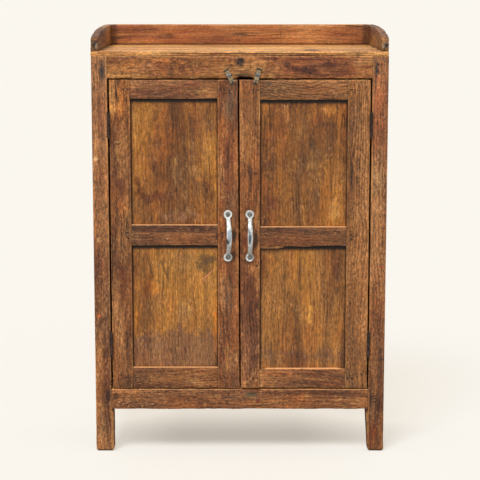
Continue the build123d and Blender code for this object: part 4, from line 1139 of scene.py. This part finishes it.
# the blue-grey zone round the knuckle is a painted reflection of the sky, the dark band near the top the
# painted shadow under the end that turns out, and the dark lower end partly a nail head and partly painted
# shadow under it
strapZones = {   # where each zone fades in and out, up the strap from its pin
    "blue": ((-0.007, -0.003), (0.006, 0.002)),
    "lipShadow": ((0.0112, 0.0128), (0.0164, 0.0152)),
    "tail": (-0.0195, -0.0225),
    "rim": (0.0046, 0.0062),   # out from the middle line
}


def strapFinish(name, hasp):
    # thin tarnished plate: a painted shadow line where the end turns out, a painted blue-grey reflection of
    # the sky round the knuckles, a dark lower end that is partly a nail head and partly painted shadow, and
    # darker long edges
    f = Finish(name)
    tilt = radians(hasp["tilt"])
    offset = f.along("SUBTRACT", f.place, (hasp["pin"][0], 0, hasp["pin"][1]))
    up = f.along("DOT_PRODUCT", offset, (-sin(tilt), 0, cos(tilt)))
    across = f.calc("ABSOLUTE", f.along("DOT_PRODUCT", offset, (cos(tilt), 0, sin(tilt))))
    cloud = f.noise(f.place, (260, 260, 260), 5, 0.7)
    grit = f.noise(f.place, (1100, 1100, 1100), 3, 0.7)
    up = f.plus(up, f.times(f.minus(cloud, 0.5), 0.008))
    tone = f.ramp(cloud, [(0.32, (92, 76, 56)), (0.48, (150, 128, 96)), (0.62, (186, 160, 122)),
                          (0.75, (206, 186, 150))])
    blue, lipShadow = [f.times(*[f.fade(up, *side) for side in strapZones[zone]]) for zone in ("blue", "lipShadow")]
    tail = f.fade(up, *strapZones["tail"])
    rim = f.fade(across, *strapZones["rim"])
    for cover, strength, colour in ((blue, 0.75, (112, 122, 130)), (lipShadow, 0.9, (38, 30, 22)),
                                    (tail, 0.8, (44, 32, 22)), (rim, 0.65, (58, 46, 32))):
        tone = f.over(tone, f.times(cover, strength), colour)
    tone = f.scaled(tone, f.fade(grit, 0.3, 0.7, 0.8, 1.15))
    f.give(Base_Color=tone, Metallic=f.fade(cloud, 0.4, 0.6, 0.25, 0.55),
           Roughness=f.fade(cloud, 0.35, 0.65, 0.62, 0.38))
    f.bump(f.plus(cloud, f.times(grit, 0.4)), 0.5, 0.0006)
    return f.material


pullScrews = {"aside": (0.052, 0.050), "below": (0.70, 0.69)}   # where a door's screws are the pull's


def fasteningFinish(name):
    # iron hinge screws and nails, but zinc screws in the pull
    f = Finish(name)
    parts = f.split(f.place)
    inPull = f.times(f.fade(f.calc("ABSOLUTE", parts[0]), *pullScrews["aside"]),
                     f.fade(parts[2], *pullScrews["below"]))
    rust = f.noise(f.place, (420, 420, 420), 5, 0.7)
    iron = f.ramp(rust, [(0.35, (24, 18, 16)), (0.55, (52, 36, 28)), (0.72, (104, 62, 38))])
    zinc = f.ramp(rust, [(0.36, (48, 44, 40)), (0.5, (112, 108, 102)), (0.66, (176, 174, 168))])
    f.give(Base_Color=f.mix(inPull, iron, zinc), Metallic=f.times(inPull, 0.6),
           Roughness=f.fade(rust, 0.35, 0.7, 0.45, 0.8))
    f.bump(rust, 0.6, 0.0008)
    return f.material


def coat(node, material):
    for slot in nodes[node].material_slots:
        slot.material = material


pullPlan = {
    "eyeRadius": 0.011, "eyeThick": 0.0036, "rim": 0.0026, "dish": 0.0013, "eyeRound": 0.0009,
    "spacing": 0.111, "neck": 0.0095,
    "crown": 0.0268,       # how far the middle of the bow's section stands out
    "start": 0.0024,
    "wide": 0.0112, "thick": 0.0054, "middleWide": 1.24, "middleThick": 1.15,
    "swell": 0.95,         # how much of the bow's half length the wider middle fades over
    "steps": 28,           # of the bow, from end to end
    "voxel": 0.0007,
}
# on each bow the blue-grey marks are painted reflections; the left bow also has rust, and the last two marks
# of each pull darken its eyes
pulls = {
    "left": {
        "x": -0.0302, "lean": 8, "dull": 0.0,
        "marks": [
            mark((-0.0305, -0.229, 0.560), (0.0058, 0.008, 0.0095), (66, 50, 48), 1.0),
            mark((-0.026, -0.229, 0.577), (0.007, 0.010, 0.022), (132, 152, 168), 0.7),
            mark((-0.030, -0.2036, 0.5155), (0.0085, 0.004, 0.0080), (70, 62, 52), 0.75),
            mark((-0.030, -0.2036, 0.6265), (0.0062, 0.004, 0.0062), (110, 102, 94), 0.7),
        ],
    },
    "right": {
        "x": 0.0255, "lean": 3, "dull": 0.02,
        "marks": [
            mark((0.026, -0.229, 0.569), (0.0044, 0.008, 0.022), (52, 70, 84), 0.95),
            mark((0.023, -0.229, 0.588), (0.002, 0.006, 0.010), (90, 96, 92), 0.6),
            mark((0.026, -0.2036, 0.5165), (0.008, 0.004, 0.0076), (84, 76, 62), 0.75),
            mark((0.025, -0.2036, 0.6265), (0.0062, 0.004, 0.0062), (104, 98, 90), 0.7),
        ],
    },
}


def castEye(x, z, face, plan):
    # a round flange with a raised rim round the screw's seat
    bpy.ops.object.select_all(action="DESELECT")
    bpy.ops.mesh.primitive_cylinder_add(vertices=40, radius=plan["eyeRadius"], depth=plan["eyeThick"],
                                        location=(x, face - plan["eyeThick"] / 2, z), rotation=(pi / 2, 0, 0))
    eye = bpy.context.object
    bpy.ops.object.transform_apply(location=True, rotation=True, scale=True)
    selectOnly(eye, "FACE", lambda faces: [face for face in faces if face.normal.y < -0.9])
    bpy.ops.mesh.inset(thickness=plan["rim"], depth=0)
    bpy.ops.mesh.inset(thickness=plan["dish"], depth=-plan["dish"])
    bpy.ops.object.mode_set(mode="OBJECT")
    useModifier(eye, "rim", "BEVEL", width=plan["eyeRound"], segments=3, limit_method="ANGLE",
                angle_limit=radians(40))
    return eye


def castBow(x, z, face, lean, plan):
    # an oval section spun along an arc that leans to the right, wider in the middle
    outward = Vector((sin(radians(lean)), -cos(radians(lean)), 0))
    axis = Vector((cos(radians(lean)), sin(radians(lean)), 0))
    half = plan["spacing"] / 2 - plan["neck"]
    rise = plan["crown"] - plan["start"]
    radius = (half ** 2 + rise ** 2) / (2 * rise)
    centre = Vector((x, face, z)) + outward * (plan["crown"] - radius)
    first = Vector((x, face, z)) + outward * plan["start"] - Vector((0, 0, half))
    radial = (first - centre).normalized()
    turn = Matrix((axis, radial, axis.cross(radial))).transposed()
    bpy.ops.object.select_all(action="DESELECT")
    bpy.ops.mesh.primitive_circle_add(vertices=24, radius=1, fill_type="NGON", location=first,
                                      rotation=turn.to_euler())
    bow = bpy.context.object
    bow.scale = (plan["wide"] / 2, plan["thick"] / 2, 1)
    bpy.ops.object.transform_apply(location=True, rotation=True, scale=True)
    bpy.ops.object.mode_set(mode="EDIT")
    bpy.ops.mesh.select_all(action="SELECT")
    bpy.ops.mesh.spin(steps=plan["steps"], angle=2 * asin(half / radius), center=centre, axis=axis)
    # widen the middle
    selectOnly(bow, "VERT", lambda verts: [v for v in verts if abs(v.co.z - z) < half / plan["steps"]])
    crown = Vector((x, face, z)) + outward * plan["crown"]
    bpy.ops.transform.resize(value=(plan["middleWide"], plan["middleThick"], 1), center_override=crown,
                             use_proportional_edit=True, proportional_edit_falloff="SMOOTH",
                             proportional_size=half * plan["swell"])
    bpy.ops.mesh.select_all(action="SELECT")
    bpy.ops.mesh.normals_make_consistent(inside=False)
    bpy.ops.object.mode_set(mode="OBJECT")
    return bow


def castPull(side, plan, own):
    low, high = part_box(f"{side}_pull")
    face = high.y
    z = (low.z + high.z) / 2
    x = own["x"]
    parts = [castEye(x, z + step * plan["spacing"] / 2, face, plan) for step in (-1, 1)]
    parts.append(castBow(x, z, face, own["lean"], plan))
    cast = joinAll(parts)
    useModifier(cast, "cast", "REMESH", mode="VOXEL", voxel_size=plan["voxel"])
    useModifier(cast, "soften", "SMOOTH", factor=0.5, iterations=2)
    cast.name = f"{side}_cast_pull"
    cast.data.name = cast.name
    bpy.ops.object.shade_smooth()
    cast.data.materials.clear()
    cast.data.materials.append(zincFinish(f"{side}PullZinc", own["marks"], own["dull"]))
    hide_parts(f"{side}_pull")
    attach(cast, f"{side}_door")


for side, pull in pulls.items():
    castPull(side, pullPlan, pull)
print("pulls cast")

peg = pegFinish()
iron = ironFinish()
for node in ("carcass_pegs", "left_door_pegs", "right_door_pegs"):
    coat(node, peg)
for node in ("carcass_nails", "post_hinge_leaves", "hinge_pins", "post_hinge_screws"):
    coat(node, iron)
hasps = {   # where the pin is, across and up, and how many degrees the strap leans to the left
    "left": {"pin": (-0.0275, 0.9805), "tilt": 28.0},
    "right": {"pin": (0.0452, 0.9815), "tilt": -16.0},
}
for side, hasp in hasps.items():
    coat(f"{side}_door_hinge_leaves", iron)
    coat(f"{side}_door_fastenings", fasteningFinish(f"{side}Fastenings"))
    strap = strapFinish(f"{side}Strap", hasp)
    for part in ("hasp_plate", "hasp_leaf", "hasp_pin"):
        coat(f"{side}_{part}", strap)
print("pegs and metal done")
